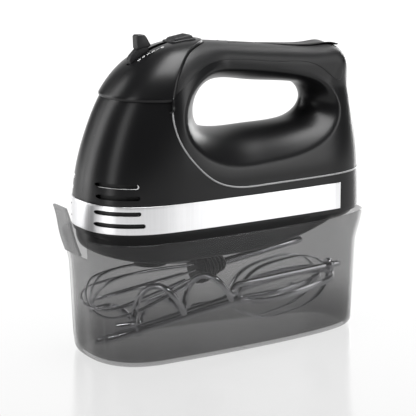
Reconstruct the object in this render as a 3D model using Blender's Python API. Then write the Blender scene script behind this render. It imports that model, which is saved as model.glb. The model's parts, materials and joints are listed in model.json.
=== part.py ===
"""Hand mixer on its storage case, with whisk, two beaters and two dough hooks.

Lengths below are millimetres; MM turns them into metres when a mesh is made.
Frame: origin on the floor under the middle of the case, nose towards -X,
cord end towards +X, +Z up. The mixer is symmetric about the plane y = 0.
"""
import math
import bpy
import bmesh
import numpy as np
from mathutils import Vector

for old in list(bpy.data.objects):
    bpy.data.objects.remove(old, do_unlink=True)

MM = 0.001
GAP = 0.3                    # air kept between two touching pieces
EDGE = 0.35                  # each shell stops this far from a seam line
WALL = 2.2                   # moulded wall of the mixer's shells

# Storage case
CASE_HALF_LENGTH = 107.5
CASE_HALF_WIDTH = 49.0
CASE_RIM_Z = 82.0
CASE_WALL = 1.8
CASE_INSET = 7.0             # how far the base stands inside the rim
CASE_FLARE_Z = 58.0          # the wall starts to flare out to its rim here
CASE_FLARE = 26.0
CASE_WIDEST_X = -60.0        # the plan is widest here and tapers to the rear
CASE_TAPER = 0.25

# Mixer levels
HULL_Z = 65.0                # lowest point of the underside
BAND_LOW = 87.0
BAND_HIGH = 105.0
BAND_REAR_X = 76.0
BAND_SLOTS = (92.8, 100.4)
HOUSING_SLOTS = (110.3, 117.6)
SLOT_HALF_HEIGHT = 1.6
CAP_SEAM_Z = 170.0
BODY_HALF_WIDTH = 42.0
HANDLE_HALF_WIDTH = 19.5
ROUND_DEPTH = 48.0           # how far in from the outline the body is rounded
HANDLE_ROUND = 13.5

# Side outline on the plane y = 0, from the nose's foot over the top to the rear,
# as x and z
OUTLINE = [(-101, 60), (-101.5, 84), (-101.2, 105), (-97.6, 128), (-90, 151.7),
           (-79.5, 172.9), (-61, 191.8), (-43, 199.7), (-22, 202.6), (8, 200.2),
           (48, 196.4), (72, 195.4), (84, 195.3), (91.5, 191), (96.5, 179),
           (100.5, 153.6), (103.4, 120), (104.8, 84), (105, 60)]
# Joint line between the front shell and the handle, top to bottom
MAIN_SEAM = [(-16, 202.4), (-32.4, 197.6), (-44.7, 187.6), (-52.8, 173.2), (-55, 159.4),
             (-51.3, 144.1), (-40, 128.5), (-26, 116.8), (-8, 111.2), (12, 110.6),
             (45, 110.8), (84, 111.2), (103.4, 111.4)]
JUNCTION = (-53.2, 171.2)    # where the cap's joint line meets the main one
# Lower edge of the soft grip, front to rear
GRIP_SEAM = [(-52.8, 172.4), (-45.8, 176.3), (-37, 182.6), (-29.3, 187), (-20, 190),
             (-8.2, 191.2), (10, 190.4), (39, 187.2), (58.9, 185.4), (66.3, 182.6),
             (72, 178.6), (77, 174.6), (81.5, 172)]
# Edge of the finger opening on the side faces, and its waist on y = 0
LIP = [(-45.8, 158), (-42.7, 144.8), (-34.6, 135.9), (-22.5, 128.2), (-7, 124),
       (12.3, 124), (37.5, 126.1), (62, 133), (75, 142.4), (80.5, 153), (77, 163.5),
       (68, 171.5), (53, 177.2), (30, 181.6), (0, 184.6), (-20, 183.4), (-34, 177),
       (-42, 169)]
WAIST = [(-24.5, 160), (-20.5, 149.5), (-10, 145.4), (19, 145.3), (45, 146.3),
         (59.5, 150.5), (65.5, 160), (61, 168.5), (51, 171.6), (19, 174.8), (-6, 177),
         (-19, 172.5)]
FAN_CENTRE = (20.0, 158.0)
FLARE_POWER = 1.8
CORNER_TURN = 28.4           # degrees up from the fan's centre to the grip's rear edge

# Drive: a motor along X turns two upright spindles through a worm
SHAFT_Z = 108.0
SPINDLE_X = -62.0
SPINDLE_Y = 19.0
SHAFT_R = 3.0
STATOR_R = 21.0
ARMATURE_R = 13.0
WHEEL_R = 12.7
WORM_R = 4.7
THREAD = 0.6
WHEEL_TEETH = 20

# Controls
LEVER_HALF = 2.4
LEVER_SLOT = (-70.5, -40.6)
LEVER_FIN = [(-69.2, 192.4), (-60.8, 199.2), (-61.0, 208.4), (-55.9, 208.2), (-52.4, 200.8),
             (-53.0, 195.0), (-54.0, 191.2), (-64.4, 186.2), (-66.6, 189.6)]
BUTTON_X = -29.5
BUTTON_LENGTH = 18.0
BUTTON_WIDTH = 15.0
BUTTON_TOP = 205.0
ROD_X = -36.0
FORK_Z = 121.0               # the fork clears the motor when it is pressed down
FORK_THICK = 2.8
GUIDE_TOP = 174.0
SPRING_TURNS = 4
SPRING_R = 4.4
SPRING_WIRE = 0.5


# ---------------------------------------------------------------- helpers
def material(name, colour, rough, metal=0.0, alpha=1.0):
    """A Principled material in one colour."""
    mat = bpy.data.materials.new(name)
    mat.use_nodes = True
    shader = mat.node_tree.nodes["Principled BSDF"]
    shader.inputs["Base Color"].default_value = (*colour, 1.0)
    shader.inputs["Roughness"].default_value = rough
    shader.inputs["Metallic"].default_value = metal
    shader.inputs["Alpha"].default_value = alpha
    return mat


def smooth_curve(points, count, closed=False):
    """Points evenly along a natural (or closed) cubic spline through points."""
    p = np.array(points, float)
    if closed:
        p = np.vstack([p, p[:1]])
    step = np.hypot(*np.diff(p, axis=0).T)
    at = np.r_[0.0, np.cumsum(step)]
    size = len(p)
    left = np.eye(size)
    right = np.zeros((size, 2))
    for i in range(1, size - 1):
        left[i, i - 1:i + 2] = step[i - 1], 2 * (step[i - 1] + step[i]), step[i]
        right[i] = 6 * ((p[i + 1] - p[i]) / step[i] - (p[i] - p[i - 1]) / step[i - 1])
    if closed:
        left[0, 0] = 2 * (step[0] + step[-1])
        left[0, 1] = step[0]
        left[0, size - 2] = step[-1]
        right[0] = 6 * ((p[1] - p[0]) / step[0] - (p[0] - p[-2]) / step[-1])
        left[-1, 0] = -1.0
    bend = np.linalg.solve(left, right)
    t = np.linspace(0, at[-1], count)
    i = np.clip(np.searchsorted(at, t) - 1, 0, size - 2)
    h = step[i][:, None]
    u = (t - at[i])[:, None]
    v = h - u
    return ((bend[i] * v ** 3 + bend[i + 1] * u ** 3) / (6 * h)
            + (p[i] / h - bend[i] * h / 6) * v + (p[i + 1] / h - bend[i + 1] * h / 6) * u)


def ease(t):
    """0 to 1 with level ends."""
    t = np.clip(t, 0, 1)
    return t * t * (3 - 2 * t)


OUTLINE_LINE = smooth_curve(OUTLINE, 2000)


def side_y(x, z, inset=0.0):
    """Half-width of the mixer's body at a point of its side view.

    The full width there, times a superellipse of the depth inside the outline.
    """
    x, z = np.broadcast_arrays(np.asarray(x, float), np.asarray(z, float))
    dx = x.ravel()[:, None] - OUTLINE_LINE[:, 0]
    dz = z.ravel()[:, None] - OUTLINE_LINE[:, 1]
    depth = np.sqrt((dx * dx + dz * dz).min(1)).reshape(x.shape) - inset
    body = BODY_HALF_WIDTH * (1 - 0.29 * np.clip((x + 50) / 156, 0, 1) ** 1.5)
    to_handle = ease((x + 52) / 50)
    top = 39 * (1 - to_handle) + HANDLE_HALF_WIDTH * to_handle
    up = ease((z - 112) / 74)
    full = body * (1 - up) + top * up
    to_rear = ease((x - 40) / 50)
    handle = to_handle * ease((z - 165) / 20)
    reach = (ROUND_DEPTH * (1 - to_rear) + 40 * to_rear) * (1 - handle)
    reach = reach + HANDLE_ROUND * handle
    t = np.clip(depth / reach, 0, 1)
    return (full - inset) * (1 - (1 - t) ** 2.5) ** 0.4


def new_object(name, mesh, mat):
    obj = bpy.data.objects.new(name, mesh)
    bpy.context.scene.collection.objects.link(obj)
    mesh.materials.clear()
    mesh.materials.append(mat)
    return obj


def grid_object(name, grid, mat, wrap_rows=False, wrap_cols=False, cap_ends=False):
    """A mesh of quads over a rows x cols grid of points in millimetres."""
    rows, cols = grid.shape[:2]
    verts = (grid.reshape(-1, 3) * MM).tolist()
    faces = []
    for r in range(rows if wrap_rows else rows - 1):
        for c in range(cols if wrap_cols else cols - 1):
            r1 = (r + 1) % rows
            c1 = (c + 1) % cols
            faces.append((r * cols + c, r * cols + c1, r1 * cols + c1, r1 * cols + c))
    if cap_ends:
        faces.append(tuple(range(cols))[::-1])
        faces.append(tuple(range((rows - 1) * cols, rows * cols)))
    mesh = bpy.data.meshes.new(name)
    mesh.from_pydata(verts, [], faces)
    bm = bmesh.new()
    bm.from_mesh(mesh)
    bmesh.ops.remove_doubles(bm, verts=bm.verts, dist=0.00002)
    bmesh.ops.recalc_face_normals(bm, faces=bm.faces)
    bm.to_mesh(mesh)
    bm.free()
    mesh.shade_smooth()
    return new_object(name, mesh, mat)


def thicken(obj, wall, outward_hint):
    """Give an open sheet its wall, on the side away from the hint direction."""
    mesh = obj.data
    mesh.update()
    middle = max(mesh.polygons, key=lambda f: f.area * abs(f.normal.dot(outward_hint)))
    if middle.normal.dot(outward_hint) < 0:
        mesh.flip_normals()
    solid = obj.modifiers.new("wall", "SOLIDIFY")
    solid.thickness = wall * MM
    solid.offset = -1.0
    solid.use_even_offset = False


def turned(name, profile, mat, centre=(0, 0, 0), axis="Z", sides=24):
    """A closed profile of (radius, height) turned about an axis through centre."""
    angle = np.linspace(0, 2 * math.pi, sides, endpoint=False)
    rad = np.array(profile, float)
    ring = np.empty((len(rad), sides, 3))
    ring[..., 0] = rad[:, :1] * np.cos(angle)
    ring[..., 1] = rad[:, :1] * np.sin(angle)
    ring[..., 2] = rad[:, 1:]
    if axis == "X":
        ring = ring[..., [2, 0, 1]]
    hollow = rad[:, 0].min() > 0
    return grid_object(name, ring + np.array(centre, float), mat, wrap_rows=hollow, wrap_cols=True)


def block(name, low, high, mat, bevel=0.8):
    """A box between two corners with softened edges."""
    bm = bmesh.new()
    bmesh.ops.create_cube(bm, size=1.0)
    low = np.array(low, float)
    high = np.array(high, float)
    for v in bm.verts:
        v.co = Vector(((np.array(v.co) + 0.5) * (high - low) + low) * MM)
    if bevel:
        bmesh.ops.bevel(bm, geom=bm.edges[:], offset=bevel * MM, segments=1, affect="EDGES")
    mesh = bpy.data.meshes.new(name)
    bm.to_mesh(mesh)
    bm.free()
    return new_object(name, mesh, mat)


def cut(obj, cutter):
    """Take the cutter's shape out of obj and keep the cutter as a guide."""
    cutter.hide_render = True
    cutter.display_type = "WIRE"
    if "flat" not in obj.modifiers:
        obj.modifiers.new("flat", "TRIANGULATE")
    mod = obj.modifiers.new("cut", "BOOLEAN")
    mod.operation = "DIFFERENCE"
    mod.object = cutter


def cylinder_cutter(name, centre, radius, depth, axis="Z", sides=24):
    half = depth / 2
    return turned(name, [(0, half), (radius, half), (radius, -half), (0, -half)],
                  guide_material, centre, axis, sides)


def wire(name, points, radius, mat, resolution=1, cyclic=False):
    """A round wire through points: a curve with a bevel and filled ends."""
    data = bpy.data.curves.new(name, "CURVE")
    data.dimensions = "3D"
    data.bevel_depth = radius * MM
    data.bevel_resolution = resolution
    data.use_fill_caps = True
    line = data.splines.new("POLY")
    line.points.add(len(points) - 1)
    for target, place in zip(line.points, points):
        target.co = (*(np.array(place, float) * MM), 1.0)
    line.use_cyclic_u = cyclic
    obj = bpy.data.objects.new(name, data)
    bpy.context.scene.collection.objects.link(obj)
    data.materials.append(mat)
    return obj


def crowd(count):
    """Fractions from 0 to 1 that crowd towards 1, for columns that end on the outline."""
    return 1 - (1 - np.linspace(0, 1, count)) ** 2.2


def coons(low, high, start, end, across):
    """Grid in the side view between four boundary curves.

    Rows run from low to high, columns from start to end at the fractions across.
    """
    a = np.linspace(0, 1, len(start))[:, None, None]
    w = across[None, :, None]
    ruled = (1 - a) * low[None] + a * high[None]
    sides = (1 - w) * start[:, None] + w * end[:, None]
    corners = ((1 - a) * ((1 - w) * low[0] + w * low[-1])
               + a * ((1 - w) * high[0] + w * high[-1]))
    return ruled + sides - corners


def both_sides(plan):
    """Lift a side-view grid to the near half and join the mirrored far half.

    The last column lies on the outline, where both halves meet at y = 0.
    """
    y = side_y(plan[..., 0], plan[..., 1])
    y[:, -1] = 0.0
    near = np.stack([plan[..., 0], -y, plan[..., 1]], -1)
    far = near[:, -2::-1] * np.array([1.0, -1.0, 1.0])
    return np.concatenate([near, far], 1)


def between(curve, start, end, count, power=1.0):
    """Points of a sampled curve from the place nearest start to nearest end."""
    i = int(np.argmin(((curve - np.array(start)) ** 2).sum(1)))
    j = int(np.argmin(((curve - np.array(end)) ** 2).sum(1)))
    t = 1 - (1 - np.linspace(0, 1, count)) ** power
    k = i + (j - i) * t
    return np.stack([np.interp(k, np.arange(len(curve)), curve[:, n]) for n in (0, 1)], 1)


def spread(start, end, count, power=1.0):
    """Points along a straight line, crowded towards its end by the power."""
    t = (1 - (1 - np.linspace(0, 1, count)) ** power)[:, None]
    return np.array(start, float) * (1 - t) + np.array(end, float) * t


guide_material = material("guide", (1, 0, 1), 0.5)
black_plastic = material("black_plastic", (0.018, 0.018, 0.02), 0.3)
soft_grip = material("soft_grip", (0.03, 0.03, 0.032), 0.45)
control_black = material("control_black", (0.022, 0.022, 0.024), 0.4)
brushed_steel = material("brushed_steel", (0.78, 0.78, 0.79), 0.3, 1.0)
bright_steel = material("bright_steel", (0.7, 0.7, 0.71), 0.18, 1.0)
case_plastic = material("case_plastic", (0.3, 0.3, 0.31), 0.25, 0.0, 0.35)
hub_plastic = material("hub_plastic", (0.03, 0.03, 0.032), 0.35)
copper = material("copper", (0.72, 0.4, 0.22), 0.35, 1.0)
lamination = material("lamination", (0.42, 0.42, 0.44), 0.45, 1.0)
inner_plastic = material("inner_plastic", (0.75, 0.74, 0.7), 0.5)
gear_plastic = material("gear_plastic", (0.82, 0.8, 0.74), 0.45)
board_green = material("board_green", (0.05, 0.22, 0.12), 0.5)
carbon = material("carbon", (0.05, 0.05, 0.05), 0.7)

MAIN_LINE = smooth_curve(MAIN_SEAM, 1200)
GRIP_LINE = smooth_curve(GRIP_SEAM, 800)
DOWN = Vector((0, 0, -1))
UP = Vector((0, 0, 1))
FRONT = Vector((-1, 0, 0))


# ---------------------------------------------------------------- storage case
def case_outline(inset, count):
    """Superellipse outline of the case: round at the nose, squarer at the rear."""
    t = np.linspace(0, 2 * math.pi, count, endpoint=False)
    c = np.cos(t)
    s = np.sin(t)
    power = np.where(c < 0, 2.5, 3.9)
    reach = np.where(c < 0, CASE_HALF_LENGTH + CASE_WIDEST_X, CASE_HALF_LENGTH - CASE_WIDEST_X) - inset
    x = CASE_WIDEST_X + reach * np.sign(c) * np.abs(c) ** (2 / power)
    half = (CASE_HALF_WIDTH - inset) * np.sign(s) * np.abs(s) ** (2 / power)
    taper = np.clip((x - CASE_WIDEST_X) / (CASE_HALF_LENGTH - CASE_WIDEST_X), 0, 1) ** 1.5
    return np.stack([x, half * (1 - CASE_TAPER * taper)], 1)


def case_inset(z):
    """How far the wall stands inside the rim at a height: straight, then flared."""
    straight = CASE_INSET * (1 - 0.45 * z / CASE_RIM_Z)
    return straight * (1 - ease((z - CASE_FLARE_Z) / CASE_FLARE))


def make_case():
    count = 44
    outer = [(16 + CASE_INSET, 0.0), (CASE_INSET + 4.5, 0.0), (CASE_INSET + 1.2, 1.2), (CASE_INSET, 4.5)]
    outer += [(case_inset(z), z) for z in (30, 58, 66, 74, CASE_RIM_Z)]
    inner = [(case_inset(z) + CASE_WALL, z) for z in (CASE_RIM_Z, 74, 66, 58, 30)]
    inner += [(CASE_INSET + CASE_WALL, 5.5), (CASE_INSET + 5.5, 2.2), (16 + CASE_INSET, 2.2)]
    rings = []
    for inset, z in outer + inner:
        flat = case_outline(inset, count)
        rings.append(np.column_stack([flat, np.full(count, z)]))
    return grid_object("storage_case", np.array(rings), case_plastic, wrap_cols=True, cap_ends=True)


def make_latch():
    """Curved clip at the nose: a root on the wall, then a thumb tab leaning out."""
    centre = [(-107.5, 71.6), (-109.9, 78), (-112.6, 88), (-114.0, 95), (-116.3, 102.5)]
    line = smooth_curve(centre, 9)
    along = np.gradient(line, axis=0)
    along /= np.linalg.norm(along, axis=1)[:, None]
    normal = np.stack([along[:, 1], -along[:, 0]], 1)
    half = np.interp(np.linspace(0, 1, 9), [0, 0.3, 1], [11.5, 11.0, 9.5])
    rows = []
    for place, side, width in zip(line, normal, half):
        front = place - side * 0.9
        back = place + side * 0.9
        rows.append([(front[0], -width, front[1]), (front[0], width, front[1]),
                     (back[0], width, back[1]), (back[0], -width, back[1])])
    return grid_object("front_latch", np.array(rows), case_plastic, wrap_cols=True, cap_ends=True)


# ---------------------------------------------------------------- mixer shells
def hull_bottom(x):
    """Height of the underside: level amidships, rising to both ends."""
    rise = np.where(x > 0, 0.0025 * x ** 2, np.where(x < -50, 0.0027 * (x + 50) ** 2, 0))
    return np.minimum(HULL_Z + rise, 78.0)


def plan_ring(z, inset, count):
    """Closed outline of the body at a height, as x and y."""
    half = count // 2
    t = np.linspace(0, math.pi, half + 1)
    x_front = np.interp(z, OUTLINE_LINE[:900, 1], OUTLINE_LINE[:900, 0]) + inset
    x_rear = np.interp(z, OUTLINE_LINE[:-500:-1, 1], OUTLINE_LINE[:-500:-1, 0]) - inset
    x = (x_front + x_rear) / 2 + (x_rear - x_front) / 2 * np.cos(t)
    y = side_y(x, np.full_like(x, z), inset)
    y[0] = y[-1] = 0.0
    near = np.stack([x, -y], 1)
    far = near[-2:0:-1] * np.array([1.0, -1.0])
    return np.vstack([near, far])


def make_base_housing():
    """Tub under the mixer: a boat-shaped underside and the wall behind the band."""
    count = 44
    levels = [(0.0, 30), (0.0, 9), (1.6, 4), (5.5, 1.6), (12.0, 0.8)]
    rings = []
    for rise, inset in levels:
        flat = plan_ring(86.0, inset + 1.0, count)
        z = hull_bottom(flat[:, 0]) + rise
        rings.append(np.column_stack([flat, z]))
    for z, inset in ((84.0, 0.4), (86.4, 0.0)):
        rings.append(np.column_stack([plan_ring(z, inset, count), np.full(count, z)]))
    for z in (86.7, BAND_HIGH - 0.6):
        flat = plan_ring(z, 0.0, count)
        small = plan_ring(z, 1.3, count)
        keep = (flat[:, 0] > BAND_REAR_X + 7)[:, None]
        rings.append(np.column_stack([np.where(keep, flat, small), np.full(count, z)]))
    obj = grid_object("base_housing", np.array(rings), black_plastic, wrap_cols=True, cap_ends=False)
    bm = bmesh.new()
    bm.from_mesh(obj.data)
    low = [e for e in bm.edges if e.is_boundary and sum(v.co.z for v in e.verts) / 2 < 0.08]
    bmesh.ops.contextual_create(bm, geom=low)
    bmesh.ops.recalc_face_normals(bm, faces=bm.faces)
    bmesh.ops.triangulate(bm, faces=[f for f in bm.faces if len(f.verts) > 4])
    bm.to_mesh(obj.data)
    bm.free()
    obj.data.shade_smooth()
    thicken(obj, WALL, DOWN)
    for side in (-1, 1):
        cut(obj, cylinder_cutter(f"socket_hole_{side}", (SPINDLE_X, side * SPINDLE_Y, 66), 11.0, 30))
    return obj


def slot_cutter(name, start, end, side, z):
    """A bar that cuts a level cooling slot through one side wall."""
    near, far = sorted((side * 19, side * 55))
    return block(name, (start, near, z - SLOT_HALF_HEIGHT), (end, far, z + SLOT_HALF_HEIGHT),
                 guide_material, 0)


def make_band():
    """Brushed steel strip wrapped round the nose, with two cooling slots a side."""
    t = np.linspace(-1, 1, 41)
    turn = (np.pi - np.abs(t) * (np.pi - math.acos((BAND_REAR_X - 1.7) / 103.2)))
    rows = []
    for z in (BAND_LOW + 0.1, BAND_HIGH - 0.9):
        x = 1.7 + 103.2 * np.cos(turn)
        x[20] = np.interp(z, OUTLINE_LINE[:900, 1], OUTLINE_LINE[:900, 0]) - 0.5
        x = np.maximum(x, x[20])
        y = side_y(x, np.full_like(x, z), -0.5) * np.sign(t)
        y[20] = 0.0
        rows.append(np.column_stack([x, y, np.full_like(x, z)]))
    obj = grid_object("trim_band", np.array(rows), brushed_steel)
    thicken(obj, 1.3, FRONT)
    for side in (-1, 1):
        for z in BAND_SLOTS:
            cut(obj, slot_cutter(f"band_slot_{side}_{z:.0f}", -97, -76, side, z))
    return obj


def make_motor_housing():
    """Front shell: from the band up to the two seams, with side cooling slots."""
    seam = between(MAIN_LINE, (103.4, 111.4), JUNCTION, 16)
    cap = spread((JUNCTION[0] - 1.5, CAP_SEAM_Z - EDGE), (-81.0, CAP_SEAM_Z - EDGE), 7, 2.2)
    high = np.vstack([seam + np.array([-EDGE, -EDGE]), cap])
    low = np.vstack([spread((103.6, BAND_HIGH + 0.1), (-10, BAND_HIGH + 0.1), 7),
                     spread((-18, BAND_HIGH + 0.1), (-66, BAND_HIGH + 0.1), 9),
                     spread((-72, BAND_HIGH + 0.1), (-101.1, BAND_HIGH + 0.1), 7, 2.2)])
    rows = 6
    end = between(OUTLINE_LINE, (-101.1, BAND_HIGH + 0.1), (-81.0, CAP_SEAM_Z - EDGE), rows)
    low[-1] = end[0]
    high[-1] = end[-1]
    start = spread(low[0], high[0], rows)
    across = np.concatenate([np.zeros(16), crowd(7)])
    sheet = both_sides(coons(low, high, start, end, across))
    obj = grid_object("motor_housing", sheet, black_plastic)
    thicken(obj, WALL, FRONT)
    for side in (-1, 1):
        for z in HOUSING_SLOTS:
            cut(obj, slot_cutter(f"housing_slot_{side}_{z:.0f}", -94.2, -78.4, side, z))
    return obj


def make_head_cap():
    """Domed cap over the nose, from the level seam to the arch of the main seam."""
    cols = 9
    w = crowd(cols)
    seam = between(MAIN_LINE, JUNCTION, (-16, 202.4), 200)
    high = np.stack([np.interp(w, np.linspace(0, 1, 200), seam[:, n]) for n in (0, 1)], 1)
    high[:-1, 0] -= 0.5
    low = spread((JUNCTION[0] - 1.4, CAP_SEAM_Z + 2 * EDGE), (-80.8, CAP_SEAM_Z + 2 * EDGE), cols, 2.2)
    end = between(OUTLINE_LINE, (-80.8, CAP_SEAM_Z + 2 * EDGE), (-16.6, 202.5), 9)
    low[-1] = end[0]
    high[-1] = end[-1]
    start = spread(low[0], high[0], 9)
    sheet = both_sides(coons(low, high, start, end, w))
    obj = grid_object("head_cap", sheet, black_plastic)
    thicken(obj, WALL, FRONT)
    side = LEVER_HALF + 0.8
    cut(obj, block("lever_slot", (LEVER_SLOT[0], -side, 180), (LEVER_SLOT[1], side, 215),
                   guide_material, 0))
    half = BUTTON_LENGTH / 2 + 0.6
    side = BUTTON_WIDTH / 2 + 0.6
    cut(obj, block("button_hole", (BUTTON_X - half, -side, 190), (BUTTON_X + half, side, 215),
                   guide_material, 0))
    return obj


def radius_at(curve, angles):
    """Distance from the fan's centre to a closed curve along each angle."""
    away = curve - np.array(FAN_CENTRE)
    turn = np.unwrap(np.arctan2(away[:, 1], away[:, 0]))
    if turn[-1] < turn[0]:
        turn = turn[::-1]
        away = away[::-1]
    base = angles + 2 * math.pi * np.ceil((turn[0] - angles) / (2 * math.pi))
    return np.interp(base, turn, np.hypot(away[:, 0], away[:, 1]))


def make_handle_frame():
    """Ring round the finger opening: waist, flare, lip and side face, open outwards."""
    angles = np.linspace(0, 2 * math.pi, 44, endpoint=False)
    corner = np.radians([CORNER_TURN - 1.0, CORNER_TURN])
    angles = np.sort(np.concatenate([angles[np.abs(angles - corner[0]) > 0.07], corner]))
    lip = radius_at(smooth_curve(LIP, 900, True), angles)
    waist = radius_at(smooth_curve(WAIST, 900, True), angles)
    rear_line = between(OUTLINE_LINE, (103.4, 113.0), (88.2, 193.6), 300)
    rear_line = rear_line + (np.array(FAN_CENTRE) - rear_line) * 0.03
    border = np.vstack([between(GRIP_LINE, (65.6, 182.9), GRIP_SEAM[0], 500) + np.array([0.0, -0.5]),
                        between(MAIN_LINE, JUNCTION, (103.4, 111.4), 700) + np.array([0.4, 0.4]),
                        rear_line])
    border = np.vstack([border, border[:1]])
    outer = np.maximum(radius_at(border, angles), lip + 3.5)
    cos, sin = np.cos(angles), np.sin(angles)

    def place(radius):
        return FAN_CENTRE[0] + radius * cos, FAN_CENTRE[1] + radius * sin

    lip_y = side_y(*place(lip))
    rows = []
    for u in (1.0, 0.7, 0.38, 0.0):
        radius = waist + (lip - waist) * u ** FLARE_POWER
        x, z = place(radius)
        rows.append(np.column_stack([x, -(lip_y - 1.2) * u, z]))
    side = []
    for f in (1.0, 0.5, 0.06):
        radius = lip + 1.2 + (outer - lip - 1.2) * f
        x, z = place(radius)
        side.append(np.column_stack([x, -side_y(x, z), z]))
    half = side + rows
    mirror = [row * np.array([1.0, -1.0, 1.0]) for row in half[-2::-1]]
    obj = grid_object("handle_frame", np.array(half + mirror), black_plastic, wrap_cols=True)
    mesh = obj.data
    mesh.update()
    probe = min(mesh.polygons, key=lambda f: (f.center - Vector((0.02, 0, 0.1453))).length)
    if probe.normal.z < 0:
        mesh.flip_normals()
    solid = obj.modifiers.new("wall", "SOLIDIFY")
    solid.thickness = WALL * MM
    solid.offset = -1.0
    return obj


def make_grip_cover():
    """Soft cover over the top of the handle, front arch to rear edge."""
    cols = 7
    rows = 20
    low = between(GRIP_LINE, (-50.5, 173.8), (66.8, 182.4), rows) + np.array([0.0, 0.8])
    front = between(MAIN_LINE, (-50.5, 177.8), (-15.2, 202.4), 200)
    w = crowd(cols)
    start = np.stack([np.interp(w, np.linspace(0, 1, 200), front[:, n]) for n in (0, 1)], 1)
    start[:, 0] += 0.6
    end = np.array([66.6, 184.2]) + w[:, None] * np.array([19.4, 11.1])
    top = between(OUTLINE_LINE, (-15.4, 202.5), (86.2, 195.2), rows)
    low[0] = start[0]
    low[-1] = end[0]
    start[-1] = top[0]
    end[-1] = top[-1]
    sheet = both_sides(coons(start, end, low, top, w))
    obj = grid_object("grip_cover", sheet, soft_grip)
    thicken(obj, WALL, UP)
    return obj


def make_rear_cover():
    """Narrow cover closing the back of the handle column, with the cord's inlet."""
    line = between(OUTLINE_LINE, (89.5, 193), (103.5, 112.5), 12)
    rows = []
    for x, z in line:
        inward = np.array([x, z]) + (np.array(FAN_CENTRE) - np.array([x, z])) * 0.022
        y = float(side_y(inward[0], inward[1])) - 0.5
        mid = (np.array([x, z]) + inward) / 2
        half = float(side_y(mid[0], mid[1])) * 0.8
        rows.append([(inward[0], -y, inward[1]), (mid[0], -half, mid[1]), (x, 0, z),
                     (mid[0], half, mid[1]), (inward[0], y, inward[1])])
    obj = grid_object("rear_cover", np.array(rows), black_plastic)
    thicken(obj, WALL, -FRONT)
    cut(obj, cylinder_cutter("inlet_hole", (103, 0, 122), 5.6, 14, "X"))
    return obj


def make_cord_inlet():
    """Rubber bush that lines the cord's hole."""
    profile = [(5.2, 0), (5.2, 6), (6.6, 6), (6.6, 7.6), (3.6, 7.6), (3.6, 0)]
    return turned("cord_inlet", [(r, 3.8 - z) for r, z in profile], control_black, (99.2, 0, 122), "X", 20)


# ---------------------------------------------------------------- controls
def make_lever():
    """Speed lever: a fin above the cap, a neck through its slot and a foot inside."""
    rows = [[(x, y, z) for x, z in LEVER_FIN] for y in (-LEVER_HALF, LEVER_HALF)]
    return grid_object("speed_lever", np.array(rows), control_black, wrap_cols=True, cap_ends=True)


def make_button():
    low = (BUTTON_X - BUTTON_LENGTH / 2, -BUTTON_WIDTH / 2, 191.0)
    high = (BUTTON_X + BUTTON_LENGTH / 2, BUTTON_WIDTH / 2, BUTTON_TOP)
    block("eject_button", low, high, control_black, 1.5)
    rod_low = FORK_Z + FORK_THICK + GAP
    turned("ejector_rod", [(0, 190.7), (2.4, 190.7), (2.4, rod_low), (0, rod_low)], inner_plastic,
           (ROD_X, 0, 0), "Z", 12)
    fork = block("ejector_fork", (-66, -22, FORK_Z), (-32, 22, FORK_Z + FORK_THICK), inner_plastic, 0.6)
    for side in (-1, 1):
        pin = cylinder_cutter(f"pin_guide_{side}", (SPINDLE_X, side * SPINDLE_Y, FORK_Z - 9.5),
                              1.7, 20, sides=12)
        pin.hide_render = True
        pin.display_type = "WIRE"
        join = fork.modifiers.new("pin", "BOOLEAN")
        join.operation = "UNION"
        join.object = pin
    turned("ejector_guide", [(6.5, GUIDE_TOP), (6.5, GUIDE_TOP - 2), (2.9, GUIDE_TOP - 2),
                             (2.9, GUIDE_TOP)], inner_plastic, (ROD_X, 0, 0), "Z", 16)
    turns = np.linspace(0, SPRING_TURNS * 2 * math.pi, 8 * SPRING_TURNS + 1)
    low = GUIDE_TOP + SPRING_WIRE + 0.7
    height = low + (190.0 - low) * turns / turns[-1]
    coil = np.column_stack([ROD_X + SPRING_R * np.cos(turns), SPRING_R * np.sin(turns), height])
    wire("eject_spring", coil, SPRING_WIRE, bright_steel, 0)


# ---------------------------------------------------------------- drive
def ripple_wheel(name, radius, teeth, depth, low, high, bore, mat, centre, per_tooth=3):
    """A disc with a wavy rim and a bore, turned about Z."""
    count = teeth * per_tooth
    angle = np.linspace(0, 2 * math.pi, count, endpoint=False)
    rim = radius + depth * np.cos(teeth * angle)
    rings = []
    for rad, z in ((rim, high), (rim, low), (np.full(count, bore), low), (np.full(count, bore), high)):
        rings.append(np.column_stack([rad * np.cos(angle), rad * np.sin(angle), np.full(count, z)]))
    grid = np.array(rings) + np.array(centre, float)
    return grid_object(name, grid, mat, wrap_rows=True, wrap_cols=True)


def make_spindle(index, side):
    place = (SPINDLE_X, side * SPINDLE_Y, 0)
    ripple_wheel(f"worm_wheel_{index}", WHEEL_R, WHEEL_TEETH, 0.5, 103.6, 112.4, 4.7, gear_plastic, place)
    profile = [(2.3, 115.5), (4.3, 115.5), (4.3, 103.2), (7.0, 103.2), (7.0, 63.0), (3.4, 63.0),
               (3.4, 98), (2.3, 98)]
    turned(f"spindle_{index}", profile, bright_steel, place, "Z", 20)
    bush = [(7.4, 72.5), (10.6, 72.5), (10.6, 62.6), (7.4, 62.6)]
    turned(f"spindle_bush_{index}", bush, control_black, place, "Z", 24)


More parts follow.
